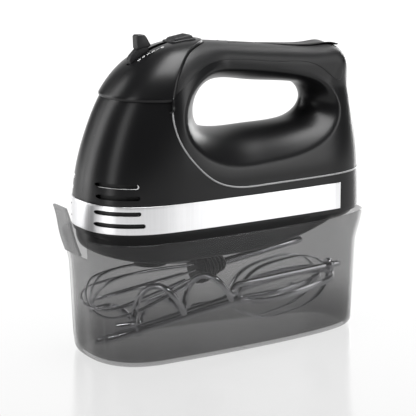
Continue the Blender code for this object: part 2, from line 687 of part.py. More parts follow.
def make_worm():
    """Worm thread: a tube whose radius waves along a helix."""
    along = np.linspace(-74, -50, 25)
    angle = np.linspace(0, 2 * math.pi, 10, endpoint=False)
    rings = []
    for x in along:
        edge = min(1.0, (x + 74) / 1.5, (-50 - x) / 1.5)
        rad = WORM_R - 0.6 + THREAD * edge * np.cos(2 * math.pi * x / 4.0 - angle)
        rings.append(np.column_stack([np.full(10, x), rad * np.cos(angle), rad * np.sin(angle)]))
    for x in (-50.0, -74.0):
        rings.append(np.column_stack([np.full(10, x), 3.25 * np.cos(angle), 3.25 * np.sin(angle)]))
    grid = np.array(rings) + np.array([0, 0, SHAFT_Z])
    return grid_object("worm", grid, bright_steel, wrap_rows=True, wrap_cols=True)


def along_x(name, profile, mat, sides=24):
    """A turned piece on the motor's axis; the profile gives radius and x."""
    return turned(name, profile, mat, (0, 0, SHAFT_Z), "X", sides)


def ring_x(name, inner, outer, start, end, mat, sides=24):
    return along_x(name, [(inner, end), (outer, end), (outer, start), (inner, start)], mat, sides)


def make_motor():
    ring_x("motor_stator", ARMATURE_R + 0.6, STATOR_R, -12, 24, lamination, 28)
    ring_x("field_coil_front", 14.5, 19.6, -18, -12.4, copper)
    ring_x("field_coil_rear", 14.5, 19.6, 24.4, 30, copper)
    along_x("armature", [(0, 48), (SHAFT_R, 48), (SHAFT_R, 23), (ARMATURE_R, 23), (ARMATURE_R, -11),
                         (SHAFT_R, -11), (SHAFT_R, -77), (0, -77)], lamination, 20)
    ring_x("commutator", 3.4, 8.6, -36, -24, copper)
    make_worm()
    blades = 11
    count = blades * 4
    angle = np.linspace(0, 2 * math.pi, count, endpoint=False)
    rim = np.where(np.arange(count) % 4 < 2, 19.0, 11.0)
    rings = []
    for rad, x in ((rim, 41.0), (rim, 31.6), (np.full(count, 3.4), 31.6), (np.full(count, 3.4), 41.0)):
        rings.append(np.column_stack([np.full(count, x), rad * np.cos(angle), rad * np.sin(angle)]))
    grid = np.array(rings) + np.array([0, 0, SHAFT_Z])
    grid_object("cooling_fan", grid, gear_plastic, wrap_rows=True, wrap_cols=True)
    front = block("front_bearing", (-46, -12, 95.5), (-41, 12, 116.4), inner_plastic)
    cut(front, cylinder_cutter("front_shaft_hole", (-43.5, 0, SHAFT_Z), 3.4, 12, "X", 20))
    rear = block("rear_bearing", (43, -20, 88), (47, 20, 128), inner_plastic)
    cut(rear, cylinder_cutter("rear_shaft_hole", (45, 0, SHAFT_Z), 3.4, 12, "X", 20))
    for side in (-1, 1):
        low = (-33, min(side * 9.2, side * 23), SHAFT_Z - 4)
        high = (-27, max(side * 9.2, side * 23), SHAFT_Z + 4)
        block(f"brush_{'near' if side < 0 else 'far'}", low, high, carbon)
    plate = block("gearbox_plate", (-80, -31, 91.5), (-47, 31, 95.0), inner_plastic)
    for side in (-1, 1):
        cut(plate, cylinder_cutter(f"plate_hole_{side}", (SPINDLE_X, side * SPINDLE_Y, 93), 7.4, 12))
    block("speed_switch", (-72, -8, 164), (-46, 8, 173.6), inner_plastic)
    block("switch_slider", (-69, -3, 173.9), (-61, 3, 179.5), control_black)
    block("control_board", (52, -21, 100), (88, 21, 101.6), board_green, 0)


def make_screws():
    """Four screws up through the underside, heads under the hull."""
    head = 3.4
    for index, (x, y) in enumerate([(-34, -22), (-34, 22), (22, -20), (22, 20)], 1):
        z = float(hull_bottom(np.array(x - head))) - GAP
        profile = [(0, z), (head, z), (head - 0.8, z - 1.6), (0, z - 1.8)]
        turned(f"housing_screw_{index}", profile, bright_steel, (x, y, 0), "Z", 14)


# ---------------------------------------------------------------- attachments
def frame_along(start, end):
    """Unit axis and two cross directions for a tool lying from start to end."""
    axis = np.array(end, float) - np.array(start, float)
    length = np.linalg.norm(axis)
    axis /= length
    side = np.cross(axis, (0, 0, 1.0))
    side /= np.linalg.norm(side)
    return axis, side, np.cross(side, axis), length


def turned_along(name, profile, start, end, mat, sides=12):
    """A turned piece whose profile is (radius, distance from start)."""
    axis, side, up, _ = frame_along(start, end)
    angle = np.linspace(0, 2 * math.pi, sides, endpoint=False)[:, None]
    rings = []
    for rad, dist in profile:
        rings.append(np.array(start) + axis * dist + rad * (np.cos(angle) * side + np.sin(angle) * up))
    hollow = min(rad for rad, _ in profile) > 0
    return grid_object(name, np.array(rings), mat, wrap_rows=hollow, wrap_cols=True)


WHISK_TIP = (-97.5, 7.0, 35.0)
WHISK_END = (72.0, 9.0, 58.0)
WHISK_BALLOON = 83.0
BEATERS = [((-90.0, -9.0, 12.5), (84.0, -12.0, 38.0), 0.0), ((-90.0, 5.0, 8.0), (88.0, 11.0, 34.0), 0.0)]
BEATER_LOOP = 76.0
# Hooks: start and end of the axis, where the corkscrew begins, one of its crests,
# where it ends, and its radius
HOOKS = [((83.0, -22.0, 46.0), (-92.0, -24.0, 36.0), 80, 105, 160.5, 10.5),
         ((80.0, 18.0, 20.0), (-84.0, 26.0, 14.5), 84, 110, 147, 9.3)]
HOOK_PITCH = 37.0


def make_whisk():
    """Balloon whisk: bent wires that start in a tapered hub on a shaft."""
    axis, side, up, length = frame_along(WHISK_END, WHISK_TIP)
    face = length - WHISK_BALLOON
    hub = face - 24
    turned_along("whisk_shaft", [(0, 0), (2.6, 0), (2.6, hub - GAP), (0, hub - GAP)], WHISK_END,
                 WHISK_TIP, bright_steel)
    turned_along("whisk_hub", [(0, hub), (5.0, hub), (9.6, hub + 17), (9.6, face - 0.5), (0, face - 0.5)],
                 WHISK_END, WHISK_TIP, hub_plastic, 16)
    for index in range(5):
        turn = math.pi * (index + 0.5) / 5
        out = math.cos(turn) * side + math.sin(turn) * up
        tip = WHISK_BALLOON - 2.3 * index
        outline = [(6.2, 0), (9.5, 12), (13.2, 28), (16.2, 46), (16.4, 60), (12.4, tip - 6), (0, tip)]
        half = smooth_curve(outline, 11)
        full = np.vstack([half, (half * np.array([-1.0, 1.0]))[-2::-1]])
        points = np.array(WHISK_END) + axis * (face + full[:, 1:]) + out * full[:, :1]
        wire(f"whisk_wire_{index + 1}", points, 0.85, bright_steel, 0)


def make_beater(index, start, end, phase):
    """Beater: a shaft and two crossed rounded loops that pass at the tip."""
    axis, side, up, length = frame_along(start, end)
    root = length - BEATER_LOOP
    profile = [(0, 0), (2.5, 0), (2.5, 22), (4.0, 22.6), (4.0, 25), (2.5, 25.6), (2.5, root), (0, root)]
    turned_along(f"beater_{index}_shaft", profile, start, end, bright_steel)
    for name, turn, tip in (("a", 0.0, BEATER_LOOP), ("b", 0.5, BEATER_LOOP - 3.0)):
        angle = (turn + phase) * math.pi
        out = math.cos(angle) * side + math.sin(angle) * up
        outline = [(4.1, 1.5), (11, 6), (17.5, 18), (18.8, 36), (16.5, 56), (9.5, tip - 5), (0, tip)]
        half = smooth_curve(outline, 10)
        full = np.vstack([half, (half * np.array([-1.0, 1.0]))[-2::-1]])
        points = np.array(start) + axis * (root + full[:, 1:]) + out * full[:, :1]
        wire(f"beater_{index}_loop_{name}", points, 1.1, bright_steel, 0)


def hook_line(start, end, begins, crest, ends, radius):
    """Centre line of a dough hook: straight shank, corkscrew, short straight tip."""
    axis, side, up, length = frame_along(start, end)
    dist = np.concatenate([[0], np.linspace(begins, ends, 24), [length]])
    turned_to = np.clip(dist, begins, ends)
    angle = (turned_to - crest) / HOOK_PITCH * 2 * math.pi
    reach = radius * ease((turned_to - begins) / 14.0)
    place = (np.array(start) + axis * dist[:, None] + side * (reach * np.sin(angle))[:, None]
             + up * (reach * np.cos(angle))[:, None])
    return place


def make_hook(index, start, end, *shape):
    """Dough hook: one bent rod with a collar near its driven end."""
    wire(f"dough_hook_{index}", hook_line(start, end, *shape), 2.1, bright_steel)
    turned_along(f"hook_{index}_collar", [(2.6, 7), (5.0, 7), (5.0, 10), (2.6, 10)],
                 start, end, bright_steel)


make_case()
make_latch()
make_base_housing()
make_band()
make_motor_housing()
make_head_cap()
make_handle_frame()
make_grip_cover()
make_rear_cover()
make_cord_inlet()
make_lever()
make_button()
for number, direction in ((1, -1), (2, 1)):
    make_spindle(number, direction)
make_motor()
make_screws()
make_whisk()
for number, beater in enumerate(BEATERS, 1):
    make_beater(number, *beater)
for number, hook in enumerate(HOOKS, 1):
    make_hook(number, *hook)
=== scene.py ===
# %% [markdown]
# # A hand mixer standing on its storage case
#
# The solid model is loaded as a fixed frame: it says where every piece is and what
# moves with what. This lesson dresses that frame. Each visible piece is worked out
# again as a fine surface with numpy, and each gets a material of its own.
# Shapes are worked out in millimetres, because that is how a moulded part is drawn,
# and turned into metres when they become a mesh.

# %% Load the frame
import json
import math
import bpy
import bmesh
import numpy as np
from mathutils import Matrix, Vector
from mathutils.bvhtree import BVHTree


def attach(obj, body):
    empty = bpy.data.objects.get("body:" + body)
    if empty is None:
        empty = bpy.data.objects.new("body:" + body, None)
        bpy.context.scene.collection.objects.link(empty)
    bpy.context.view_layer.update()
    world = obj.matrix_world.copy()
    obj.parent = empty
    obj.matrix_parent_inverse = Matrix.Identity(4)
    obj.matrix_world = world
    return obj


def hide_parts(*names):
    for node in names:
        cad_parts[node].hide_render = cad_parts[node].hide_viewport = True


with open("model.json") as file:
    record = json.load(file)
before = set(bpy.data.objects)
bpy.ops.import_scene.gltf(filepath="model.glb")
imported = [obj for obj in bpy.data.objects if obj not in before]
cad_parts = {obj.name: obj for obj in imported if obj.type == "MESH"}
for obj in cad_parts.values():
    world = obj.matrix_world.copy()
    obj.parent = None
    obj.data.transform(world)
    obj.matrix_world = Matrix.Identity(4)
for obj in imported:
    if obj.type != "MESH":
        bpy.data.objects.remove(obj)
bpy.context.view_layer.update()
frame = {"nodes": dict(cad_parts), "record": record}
MM = 0.001

# %% [markdown]
# ## The camera
#
# A long lens about a metre away keeps the sides nearly parallel, as in a catalogue.
# It stands thirty degrees round towards the nose and looks down by twelve degrees.

# %% Camera
AZIMUTH = math.radians(-30)
ELEVATION = math.radians(12)
DISTANCE = 1.1
TARGET = Vector((-0.008, 0.0, 0.090))
camera_data = bpy.data.cameras.new("camera")
camera_data.lens = 142.8
camera_data.sensor_width = 36.0
camera = bpy.data.objects.new("camera", camera_data)
bpy.context.scene.collection.objects.link(camera)
back = Vector((math.sin(AZIMUTH) * math.cos(ELEVATION), -math.cos(AZIMUTH) * math.cos(ELEVATION),
               math.sin(ELEVATION)))
camera.location = TARGET + back * DISTANCE
camera.rotation_euler = back.to_track_quat("Z", "Y").to_euler()
bpy.context.scene.camera = camera

# %% [markdown]
# ## Curves and grids
#
# A natural cubic spline draws the seams from a few points, as a bent
# batten would. Everything else is a grid: rows by columns of points, computed at
# once, then handed to the mesh with from_pydata.


# %% Curve helpers
def smooth_curve(points, count, closed=False):
    """Points evenly along a natural (or closed) cubic spline through points."""
    p = np.array(points, float)
    if closed:
        p = np.vstack([p, p[:1]])
    step = np.linalg.norm(np.diff(p, axis=0), axis=1)
    at = np.r_[0.0, np.cumsum(step)]
    size = len(p)
    left = np.eye(size)
    right = np.zeros_like(p)
    for i in range(1, size - 1):
        left[i, i - 1:i + 2] = step[i - 1], 2 * (step[i - 1] + step[i]), step[i]
        right[i] = 6 * ((p[i + 1] - p[i]) / step[i] - (p[i] - p[i - 1]) / step[i - 1])
    if closed:
        left[0, 0] = 2 * (step[0] + step[-1])
        left[0, 1] = step[0]
        left[0, size - 2] = step[-1]
        right[0] = 6 * ((p[1] - p[0]) / step[0] - (p[0] - p[-2]) / step[-1])
        left[-1, 0] = -1.0
    bend = np.linalg.solve(left, right)
    t = np.linspace(0, at[-1], count)
    i = np.clip(np.searchsorted(at, t) - 1, 0, size - 2)
    h = step[i][:, None]
    u = (t - at[i])[:, None]
    v = h - u
    return ((bend[i] * v ** 3 + bend[i + 1] * u ** 3) / (6 * h)
            + (p[i] / h - bend[i] * h / 6) * v + (p[i + 1] / h - bend[i + 1] * h / 6) * u)


def ease(t):
    """0 to 1 with level ends: three t squared minus two t cubed."""
    t = np.clip(t, 0, 1)
    return t * t * (3 - 2 * t)


def crowd(count, power=2.5):
    """Fractions from 0 to 1 that crowd towards 1, where a surface turns over a crest."""
    return 1 - (1 - np.linspace(0, 1, count)) ** power


def along(curve, fractions):
    """Points of a sampled curve at fractions of its samples."""
    k = np.clip(fractions, 0, 1) * (len(curve) - 1)
    return np.stack([np.interp(k, np.arange(len(curve)), c) for c in curve.T], 1)


def between(curve, start, end, fractions):
    """Points of a sampled curve from the place nearest start to nearest end."""
    i = int(np.argmin(((curve - np.array(start)) ** 2).sum(1)))
    j = int(np.argmin(((curve - np.array(end)) ** 2).sum(1)))
    return along(curve, (i + (j - i) * fractions) / (len(curve) - 1))


def moved_aside(curve, distance):
    """A side-view curve moved to its left by a distance, square to itself."""
    run = np.gradient(curve, axis=0)
    run /= np.linalg.norm(run, axis=1)[:, None]
    return curve + np.stack([-run[:, 1], run[:, 0]], 1) * np.reshape(distance, (-1, 1))


# %% Mesh helpers
CREASE = 38                  # degrees from which an edge stays sharp


def link(name, mesh, mat):
    """Put a mesh in the scene as an object with one finish."""
    obj = bpy.data.objects.new(name, mesh)
    bpy.context.scene.collection.objects.link(obj)
    mesh.materials.clear()
    mesh.materials.append(mat)
    return obj


def grid_faces(rows, cols, wrap_rows=False, wrap_cols=False):
    """Corner numbers of the quads of a rows x cols grid, as one array."""
    r = np.arange(rows if wrap_rows else rows - 1)[:, None]
    c = np.arange(cols if wrap_cols else cols - 1)[None]
    r1 = (r + 1) % rows
    c1 = (c + 1) % cols
    return np.stack([r * cols + c, r * cols + c1, r1 * cols + c1, r1 * cols + c], -1).reshape(-1, 4)


def grid_piece(name, grid, mat, wrap_rows=False, wrap_cols=False, caps=False, merge=0.000004):
    """A mesh over a grid of points in millimetres, poles and seams merged."""
    rows, cols = grid.shape[:2]
    faces = grid_faces(rows, cols, wrap_rows, wrap_cols).tolist()
    if caps:
        faces.append(list(range(cols))[::-1])
        faces.append(list(range((rows - 1) * cols, rows * cols)))
    mesh = bpy.data.meshes.new(name)
    mesh.from_pydata((grid.reshape(-1, 3) * MM).tolist(), [], faces)
    bm = bmesh.new()
    bm.from_mesh(mesh)
    bmesh.ops.remove_doubles(bm, verts=bm.verts, dist=merge)
    bmesh.ops.dissolve_degenerate(bm, edges=bm.edges, dist=merge)
    bmesh.ops.recalc_face_normals(bm, faces=bm.faces)
    bm.to_mesh(mesh)
    bm.free()
    mesh.shade_smooth()
    return link(name, mesh, mat)


def settle(obj):
    """Make the modifiers part of the mesh, then drop them."""
    graph = bpy.context.evaluated_depsgraph_get()
    graph.update()
    mesh = bpy.data.meshes.new_from_object(obj.evaluated_get(graph))
    obj.modifiers.clear()
    obj.data = mesh
    return obj


def face_out(obj, direction):
    """Turn an open sheet so that its largest face along a direction looks that way."""
    obj.data.update()
    hint = Vector(direction)
    widest = max(obj.data.polygons, key=lambda f: f.area * abs(f.normal.dot(hint)))
    if widest.normal.dot(hint) < 0:
        obj.data.flip_normals()


def thickened(obj, wall):
    """Give a sheet that already faces outwards a wall on its inner side."""
    solid = obj.modifiers.new("wall", "SOLIDIFY")
    solid.thickness = wall * MM
    solid.offset = -1.0
    return settle(obj)


def walled(obj, wall, direction):
    """Give an open sheet a wall on its inner side."""
    face_out(obj, direction)
    return thickened(obj, wall)


def carve(obj, *cutters):
    """Take each cutter's shape out of the piece and throw the cutter away."""
    for cutter in cutters:
        mod = obj.modifiers.new("cut", "BOOLEAN")
        mod.operation = "DIFFERENCE"
        mod.solver = "MANIFOLD"
        mod.object = cutter
        settle(obj)
        bpy.data.objects.remove(cutter, do_unlink=True)
    obj.data.set_sharp_from_angle(angle=math.radians(CREASE))
    return obj


def sharp(obj, degrees=CREASE):
    """Shade smooth, but keep an edge where faces meet at more than an angle."""
    obj.data.shade_smooth()
    obj.data.set_sharp_from_angle(angle=math.radians(degrees))
    return obj


def bevelled(obj, width, segments=3, degrees=30):
    """Round the edges of a piece and keep the result."""
    mod = obj.modifiers.new("round", "BEVEL")
    mod.width = width * MM
    mod.segments = segments
    mod.limit_method = "ANGLE"
    mod.angle_limit = math.radians(degrees)
    return sharp(settle(obj))


def prism(name, outline, low, high, mat, axis="Y"):
    """A flat outline carried straight along one axis, from low to high."""
    flat = np.array(outline, float)
    level = np.ones(len(flat))
    order = {"Y": (0, 2, 1), "Z": (0, 1, 2), "X": (2, 0, 1)}[axis]
    rings = [np.column_stack([flat, level * at])[:, order] for at in (low, high)]
    return grid_piece(name, np.array(rings), mat, wrap_cols=True, caps=True)


def rounded_slot(name, start, end, half, low, high, axis="Y"):
    """A bar with round ends: a stadium outline carried along an axis."""
    (x0, z0), (x1, z1) = start, end
    turn = np.linspace(-math.pi / 2, math.pi / 2, 9)
    lean = math.atan2(z1 - z0, x1 - x0)
    tip = np.concatenate([turn + lean, turn + lean + math.pi])
    centre = np.repeat([[x1, z1], [x0, z0]], 9, axis=0)
    outline = centre + half * np.stack([np.cos(tip), np.sin(tip)], 1)
    return prism(name, outline, low, high, None, axis)


def turned(name, profile, mat, start, end, sides=40, closed=True):
    """A closed profile of (radius, distance) turned about the line from start to end."""
    axis, side, up, _ = frame_along(start, end)
    angle = np.linspace(0, 2 * math.pi, sides, endpoint=False)[:, None]
    around = np.cos(angle) * side + np.sin(angle) * up
    rad = np.array(profile, float)
    grid = np.array(start, float) + rad[:, None, 1:] * axis + rad[:, None, :1] * around
    hollow = closed and rad[:, 0].min() > 0
    return sharp(grid_piece(name, grid, mat, wrap_rows=hollow, wrap_cols=True))


def frame_along(start, end):
    """Unit axis, two cross directions and the length of the line from start to end."""
    axis = np.array(end, float) - np.array(start, float)
    length = np.linalg.norm(axis)
    axis /= length
    side = np.cross(axis, (0, 0, 1.0) if abs(axis[2]) < 0.9 else (0, 1.0, 0))
    side /= np.linalg.norm(side)
    return axis, side, np.cross(side, axis), length


def rod(name, line, wide, thick, mat, reference, sides=14, closed=False):
    """A rod with an oval section carried along a line.

    Each section lies across the line: its thick way is the reference direction with
    the part along the line taken out, its wide way is square to both.
    """
    run = np.gradient(line, axis=0)
    if closed:
        run = np.roll(line, -1, 0) - np.roll(line, 1, 0)
    run /= np.linalg.norm(run, axis=1)[:, None]
    ref = np.broadcast_to(np.array(reference, float), line.shape)
    wide_way = np.cross(run, ref)
    wide_way /= np.linalg.norm(wide_way, axis=1)[:, None]
    thick_way = np.cross(wide_way, run)
    angle = np.linspace(0, 2 * math.pi, sides, endpoint=False)
    ring = (np.cos(angle)[None, :, None] * wide_way[:, None] * wide
            + np.sin(angle)[None, :, None] * thick_way[:, None] * thick)
    grid = line[:, None] + ring
    return grid_piece(name, grid, mat, wrap_rows=closed, wrap_cols=True, caps=not closed)


def carried_frame(line):
    """A cross direction for each station, the last one turned as little as it can be."""
    run = np.gradient(line, axis=0)
    run /= np.linalg.norm(run, axis=1)[:, None]
    cross = np.empty_like(line)
    last = np.cross(run[0], (0, 0, 1.0))
    for k, way in enumerate(run):
        last = last - way * last.dot(way)
        last /= np.linalg.norm(last)
        cross[k] = last
    return cross


def dress(obj, body, slot, *nodes):
    """Say what the piece rides on and what it stands for; the slot is not used."""
    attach(obj, body)
    if nodes:
        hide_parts(*nodes)
    print(f"{obj.name}: {len(obj.data.polygons)} faces on {body}")
    return obj


# %% [markdown]
# ## Finishes
#
# Moulded plastic is never quite even: its gloss wanders a little over a few
# centimetres and a fine grain breaks up reflections. So every finish here starts from
# one Principled shader, whose roughness is a slow noise between two values and whose
# bump is a fine one. Brushed metal stretches that noise along one direction.


# %% Finish helper
def finish(name, colour, rough, spread=0.04, grain=900.0, depth=0.05, metal=0.0, alpha=1.0,
           stretch=(1.0, 1.0, 1.0), slow=35.0, shade=0.1, **sockets):
    """A Principled material with wandering roughness, shade and a fine grain."""
    mat = bpy.data.materials.new(name)
    mat.use_nodes = True
    nodes = mat.node_tree.nodes
    links = mat.node_tree.links
    shader = nodes["Principled BSDF"]
    shader.inputs["Metallic"].default_value = metal
    shader.inputs["Alpha"].default_value = alpha
    for socket, value in sockets.items():
        shader.inputs[socket.replace("_", " ")].default_value = value
    coords = nodes.new("ShaderNodeTexCoord")
    place = nodes.new("ShaderNodeMapping")
    place.inputs["Scale"].default_value = stretch
    links.new(coords.outputs["Object"], place.inputs["Vector"])
    wander = nodes.new("ShaderNodeTexNoise")
    wander.inputs["Scale"].default_value = slow
    wander.inputs["Detail"].default_value = 3.0
    links.new(place.outputs["Vector"], wander.inputs["Vector"])
    to_rough = nodes.new("ShaderNodeMapRange")
    to_rough.inputs["To Min"].default_value = rough - spread
    to_rough.inputs["To Max"].default_value = rough + spread
    links.new(wander.outputs["Fac"], to_rough.inputs["Value"])
    links.new(to_rough.outputs["Result"], shader.inputs["Roughness"])
    tint = nodes.new("ShaderNodeMix")
    tint.data_type = "RGBA"
    tint.inputs["A"].default_value = (*[c * (1 - shade) for c in colour], 1.0)
    tint.inputs["B"].default_value = (*[min(1.0, c * (1 + shade)) for c in colour], 1.0)
    links.new(wander.outputs["Fac"], tint.inputs["Factor"])
    links.new(tint.outputs["Result"], shader.inputs["Base Color"])
    fine = nodes.new("ShaderNodeTexNoise")
    fine.inputs["Scale"].default_value = grain
    fine.inputs["Detail"].default_value = 2.0
    links.new(place.outputs["Vector"], fine.inputs["Vector"])
    bump = nodes.new("ShaderNodeBump")
    bump.inputs["Strength"].default_value = depth
    bump.inputs["Distance"].default_value = 0.0002
    links.new(fine.outputs["Fac"], bump.inputs["Height"])
    links.new(bump.outputs["Normal"], shader.inputs["Normal"])
    return mat


# %% The finishes
SATIN_BLACK = (0.006, 0.006, 0.0065)
body_black = finish("satin_black_shell", SATIN_BLACK, 0.30, 0.02, depth=0.03,
                    Specular_IOR_Level=0.26)
hull_black = finish("satin_black_tub", SATIN_BLACK, 0.33, 0.02, depth=0.03,
                    Specular_IOR_Level=0.26)
grip_black = finish("soft_touch_grip", (0.009, 0.009, 0.0095), 0.42, 0.03, 2200.0, 0.10,
                    Specular_IOR_Level=0.32)
control_black = finish("matt_black_controls", (0.016, 0.016, 0.017), 0.45, 0.04, 1500.0, 0.12,
                       Specular_IOR_Level=0.32)
# Near-black of the vent liners: partly the dark inner wall, partly painted shade inside the slots.
vent_shade_black = finish("vent_shadow", (0.004, 0.004, 0.004), 0.6, 0.05)
brushed = finish("brushed_steel", (0.80, 0.80, 0.81), 0.34, 0.07, 60.0, 0.12, metal=1.0,
                 stretch=(55.0, 55.0, 1.5), slow=9.0, shade=0.10)
bright = finish("polished_steel", (0.62, 0.62, 0.64), 0.17, 0.04, 500.0, 0.02, metal=1.0, shade=0.12)
smoke = finish("smoked_case", (0.028, 0.028, 0.029), 0.14, 0.03, 300.0, 0.02)
smoke_thick = finish("smoked_latch", (0.10, 0.10, 0.102), 0.24, 0.03, 300.0, 0.02, alpha=0.60)
hub_black = finish("ribbed_hub_plastic", (0.016, 0.016, 0.017), 0.42, 0.04, 1200.0, 0.10)
# Pale grey of the seam rod: a painted highlight along the main seam.
seam_highlight_grey = finish("seam_bead", (0.30, 0.30, 0.305), 0.32, 0.03, 800.0, 0.04)
print_grey = finish("printed_marks", (0.62, 0.62, 0.62), 0.5, 0.03)
copper_wire = finish("wound_copper", (0.72, 0.36, 0.18), 0.35, 0.08, 90.0, 0.6, metal=1.0,
                     stretch=(30.0, 1.0, 1.0))
laminated = finish("stacked_sheet", (0.42, 0.42, 0.44), 0.42, 0.08, 60.0, 0.5, metal=1.0,
                   stretch=(40.0, 1.0, 1.0))
natural = finish("natural_nylon", (0.72, 0.70, 0.64), 0.5, 0.05, 700.0, 0.1)
green = finish("lacquered_board", (0.03, 0.18, 0.09), 0.38, 0.06, 260.0, 0.2)
coal = finish("carbon_brush", (0.035, 0.035, 0.035), 0.7, 0.08, 800.0, 0.4)
print("finishes:", len(bpy.data.materials))


# %% Smoked wall, darker towards its foot: painted shade
def painted_shade_below(mat, foot, top, foot_alpha, top_alpha):
    """Ramp a finish's alpha over the object's own height, given in metres."""
    nodes = mat.node_tree.nodes
    links = mat.node_tree.links
    coords = nodes.new("ShaderNodeTexCoord")
    split = nodes.new("ShaderNodeSeparateXYZ")
    links.new(coords.outputs["Object"], split.inputs["Vector"])
    ramp = nodes.new("ShaderNodeMapRange")
    ramp.interpolation_type = "SMOOTHSTEP"
    ramp.inputs["From Min"].default_value = foot
    ramp.inputs["From Max"].default_value = top
    ramp.inputs["To Min"].default_value = foot_alpha
    ramp.inputs["To Max"].default_value = top_alpha
    links.new(split.outputs["Z"], ramp.inputs["Value"])
    links.new(ramp.outputs["Result"], nodes["Principled BSDF"].inputs["Alpha"])


# The smoked wall grows more opaque, and so darker, towards its foot: painted shade.
painted_shade_below(smoke, -0.004, 0.040, 0.62, 0.34)

# %% [markdown]
# ## The body's one surface
#
# The mixer's shells meet flush, so one function gives them all their shape: the
# half-width of the body at each point of its side view. It is the full width at that
# height and length, times a superellipse of how deep the point lies inside the
# outline. Near the outline the surface turns over the crest; deep inside it is flat.

# %% Side outline and seams
OUTLINE = [(-101, 60), (-101.5, 84), (-101.2, 105), (-97.6, 128), (-90, 151.7),
           (-79.5, 172.9), (-61, 191.8), (-43, 199.7), (-22, 202.6), (8, 200.2),
           (48, 196.4), (72, 195.4), (84, 195.3), (91.5, 191), (96.5, 179),
           (100.5, 153.6), (103.4, 120), (104.8, 84), (105, 60)]
MAIN_SEAM = [(-16, 202.4), (-32.4, 197.6), (-44.7, 187.6), (-52.8, 173.2), (-55, 159.4),
             (-51.3, 144.1), (-40, 128.5), (-26, 116.8), (-8, 111.2), (12, 110.6),
             (45, 110.8), (84, 111.2), (104.0, 111.4)]
JUNCTION = (-53.2, 171.2)
CAP_SEAM_Z = 170.0
BAND_LOW = 87.0
BAND_HIGH = 105.0
BAND_REAR_X = 76.0
OUTLINE_LINE = smooth_curve(OUTLINE, 2000)
MAIN_LINE = smooth_curve(MAIN_SEAM, 1200)
SEAM_FADE_X = 84.0           # the long joint line closes up towards the rear corner
EDGE = 0.12                  # half of the hairline gap at a seam
ROLL = 0.55                  # radius of the rounded edge beside it
SHELL_WALL = 1.6


# %% The half-width function
def depth_inside(x, z):
    """Distance from side-view points to the outline, by the nearest of its segments."""
    points = np.stack([np.ravel(x), np.ravel(z)], 1)
    last = len(OUTLINE_LINE) - 2
    depth = np.empty(len(points))
    for first in range(0, len(points), 2000):
        p = points[first:first + 2000]
        near = ((p[:, None] - OUTLINE_LINE[None]) ** 2).sum(-1).argmin(1)
        found = np.full(len(p), 1e9)
        for step in (-1, 0):
            a = OUTLINE_LINE[np.clip(near + step, 0, last)]
            run = OUTLINE_LINE[np.clip(near + step, 0, last) + 1] - a
            t = np.clip(((p - a) * run).sum(1) / (run ** 2).sum(1), 0, 1)
            found = np.minimum(found, np.linalg.norm(p - a - run * t[:, None], axis=1))
        depth[first:first + 2000] = found
    return depth.reshape(np.shape(x))


def side_y(x, z, inset=0.0):
    """Half-width of the body at side-view points, drawn in by inset."""
    x, z = np.broadcast_arrays(np.asarray(x, float), np.asarray(z, float))
    depth = depth_inside(x, z) - inset
    body = 42.0 * (1 - 0.29 * np.clip((x + 50) / 156, 0, 1) ** 1.5)
    to_handle = ease((x + 52) / 50)
    top = 39 * (1 - to_handle) + 19.5 * to_handle
    up = ease((z - 112) / 74)
    full = body * (1 - up) + top * up
    to_rear = ease((x - 40) / 50)
    handle = to_handle * ease((z - 165) / 20)
    reach = (48 * (1 - to_rear) + 40 * to_rear) * (1 - handle) + 13.5 * handle
    t = np.clip(depth / reach, 0, 1)
    return (full - inset) * (1 - (1 - t) ** 2.5) ** 0.4

# %% [markdown]
# ## Shells from four-sided patches
#
# A shell's patch in the side view lies between four boundary curves (a Coons patch:
# two ruled surfaces added, the one through the corners taken away). It is lifted to
# the half-width, mirrored, and its free edges are rolled inwards with a small radius,
# because that rounded edge is what draws the bright line along a real seam.


# %% Patch helpers
def patch(low, high, end, across, start=None):
    """Side-view grid between low and high, its last (and first) column on a curve."""
    a = np.linspace(0, 1, len(end))[:, None, None]
    grid = (1 - a) * low[None] + a * high[None]
    w = across[None, :, None]
    line = (1 - a) * low[-1] + a * high[-1]
    grid = grid + w * (end[:, None] - line)
    if start is not None:
        line = (1 - a) * low[0] + a * high[0]
        grid = grid + (1 - w) * (start[:, None] - line)
    return grid


def both_sides(plan, lift=0.0, closed=False):
    """Lift a side-view grid to the near half, mirror it, and join them at y = 0."""
    y = side_y(plan[..., 0], plan[..., 1])
    y[:, -1] = 0.0
    if closed:
        y[:, 0] = 0.0
    near = np.stack([plan[..., 0], -y, plan[..., 1]], -1)
    far = near[:, -2:0:-1] if closed else near[:, -2::-1]
    whole = np.concatenate([near, far * np.array([1.0, -1.0, 1.0])], 1)
    return whole + lift * outward(whole, closed) if lift else whole


def outward(grid, closed=False, centre=(0.0, 0.0, 150.0)):
    """Unit normals of a grid by crossing its two directions, turned away from centre."""
    if closed:
        ring = np.concatenate([grid[:, -1:], grid, grid[:, :1]], 1)
        across = np.gradient(ring, axis=1)[:, 1:-1]
    else:
        across = np.gradient(grid, axis=1)
    normal = np.cross(np.gradient(grid, axis=0), across)
    size = np.linalg.norm(normal, axis=-1, keepdims=True)
    normal = normal / np.maximum(size, 1e-9)
    flip = np.sign((normal * (grid - np.array(centre))).sum(-1).mean())
    return normal * (flip if flip else 1.0)


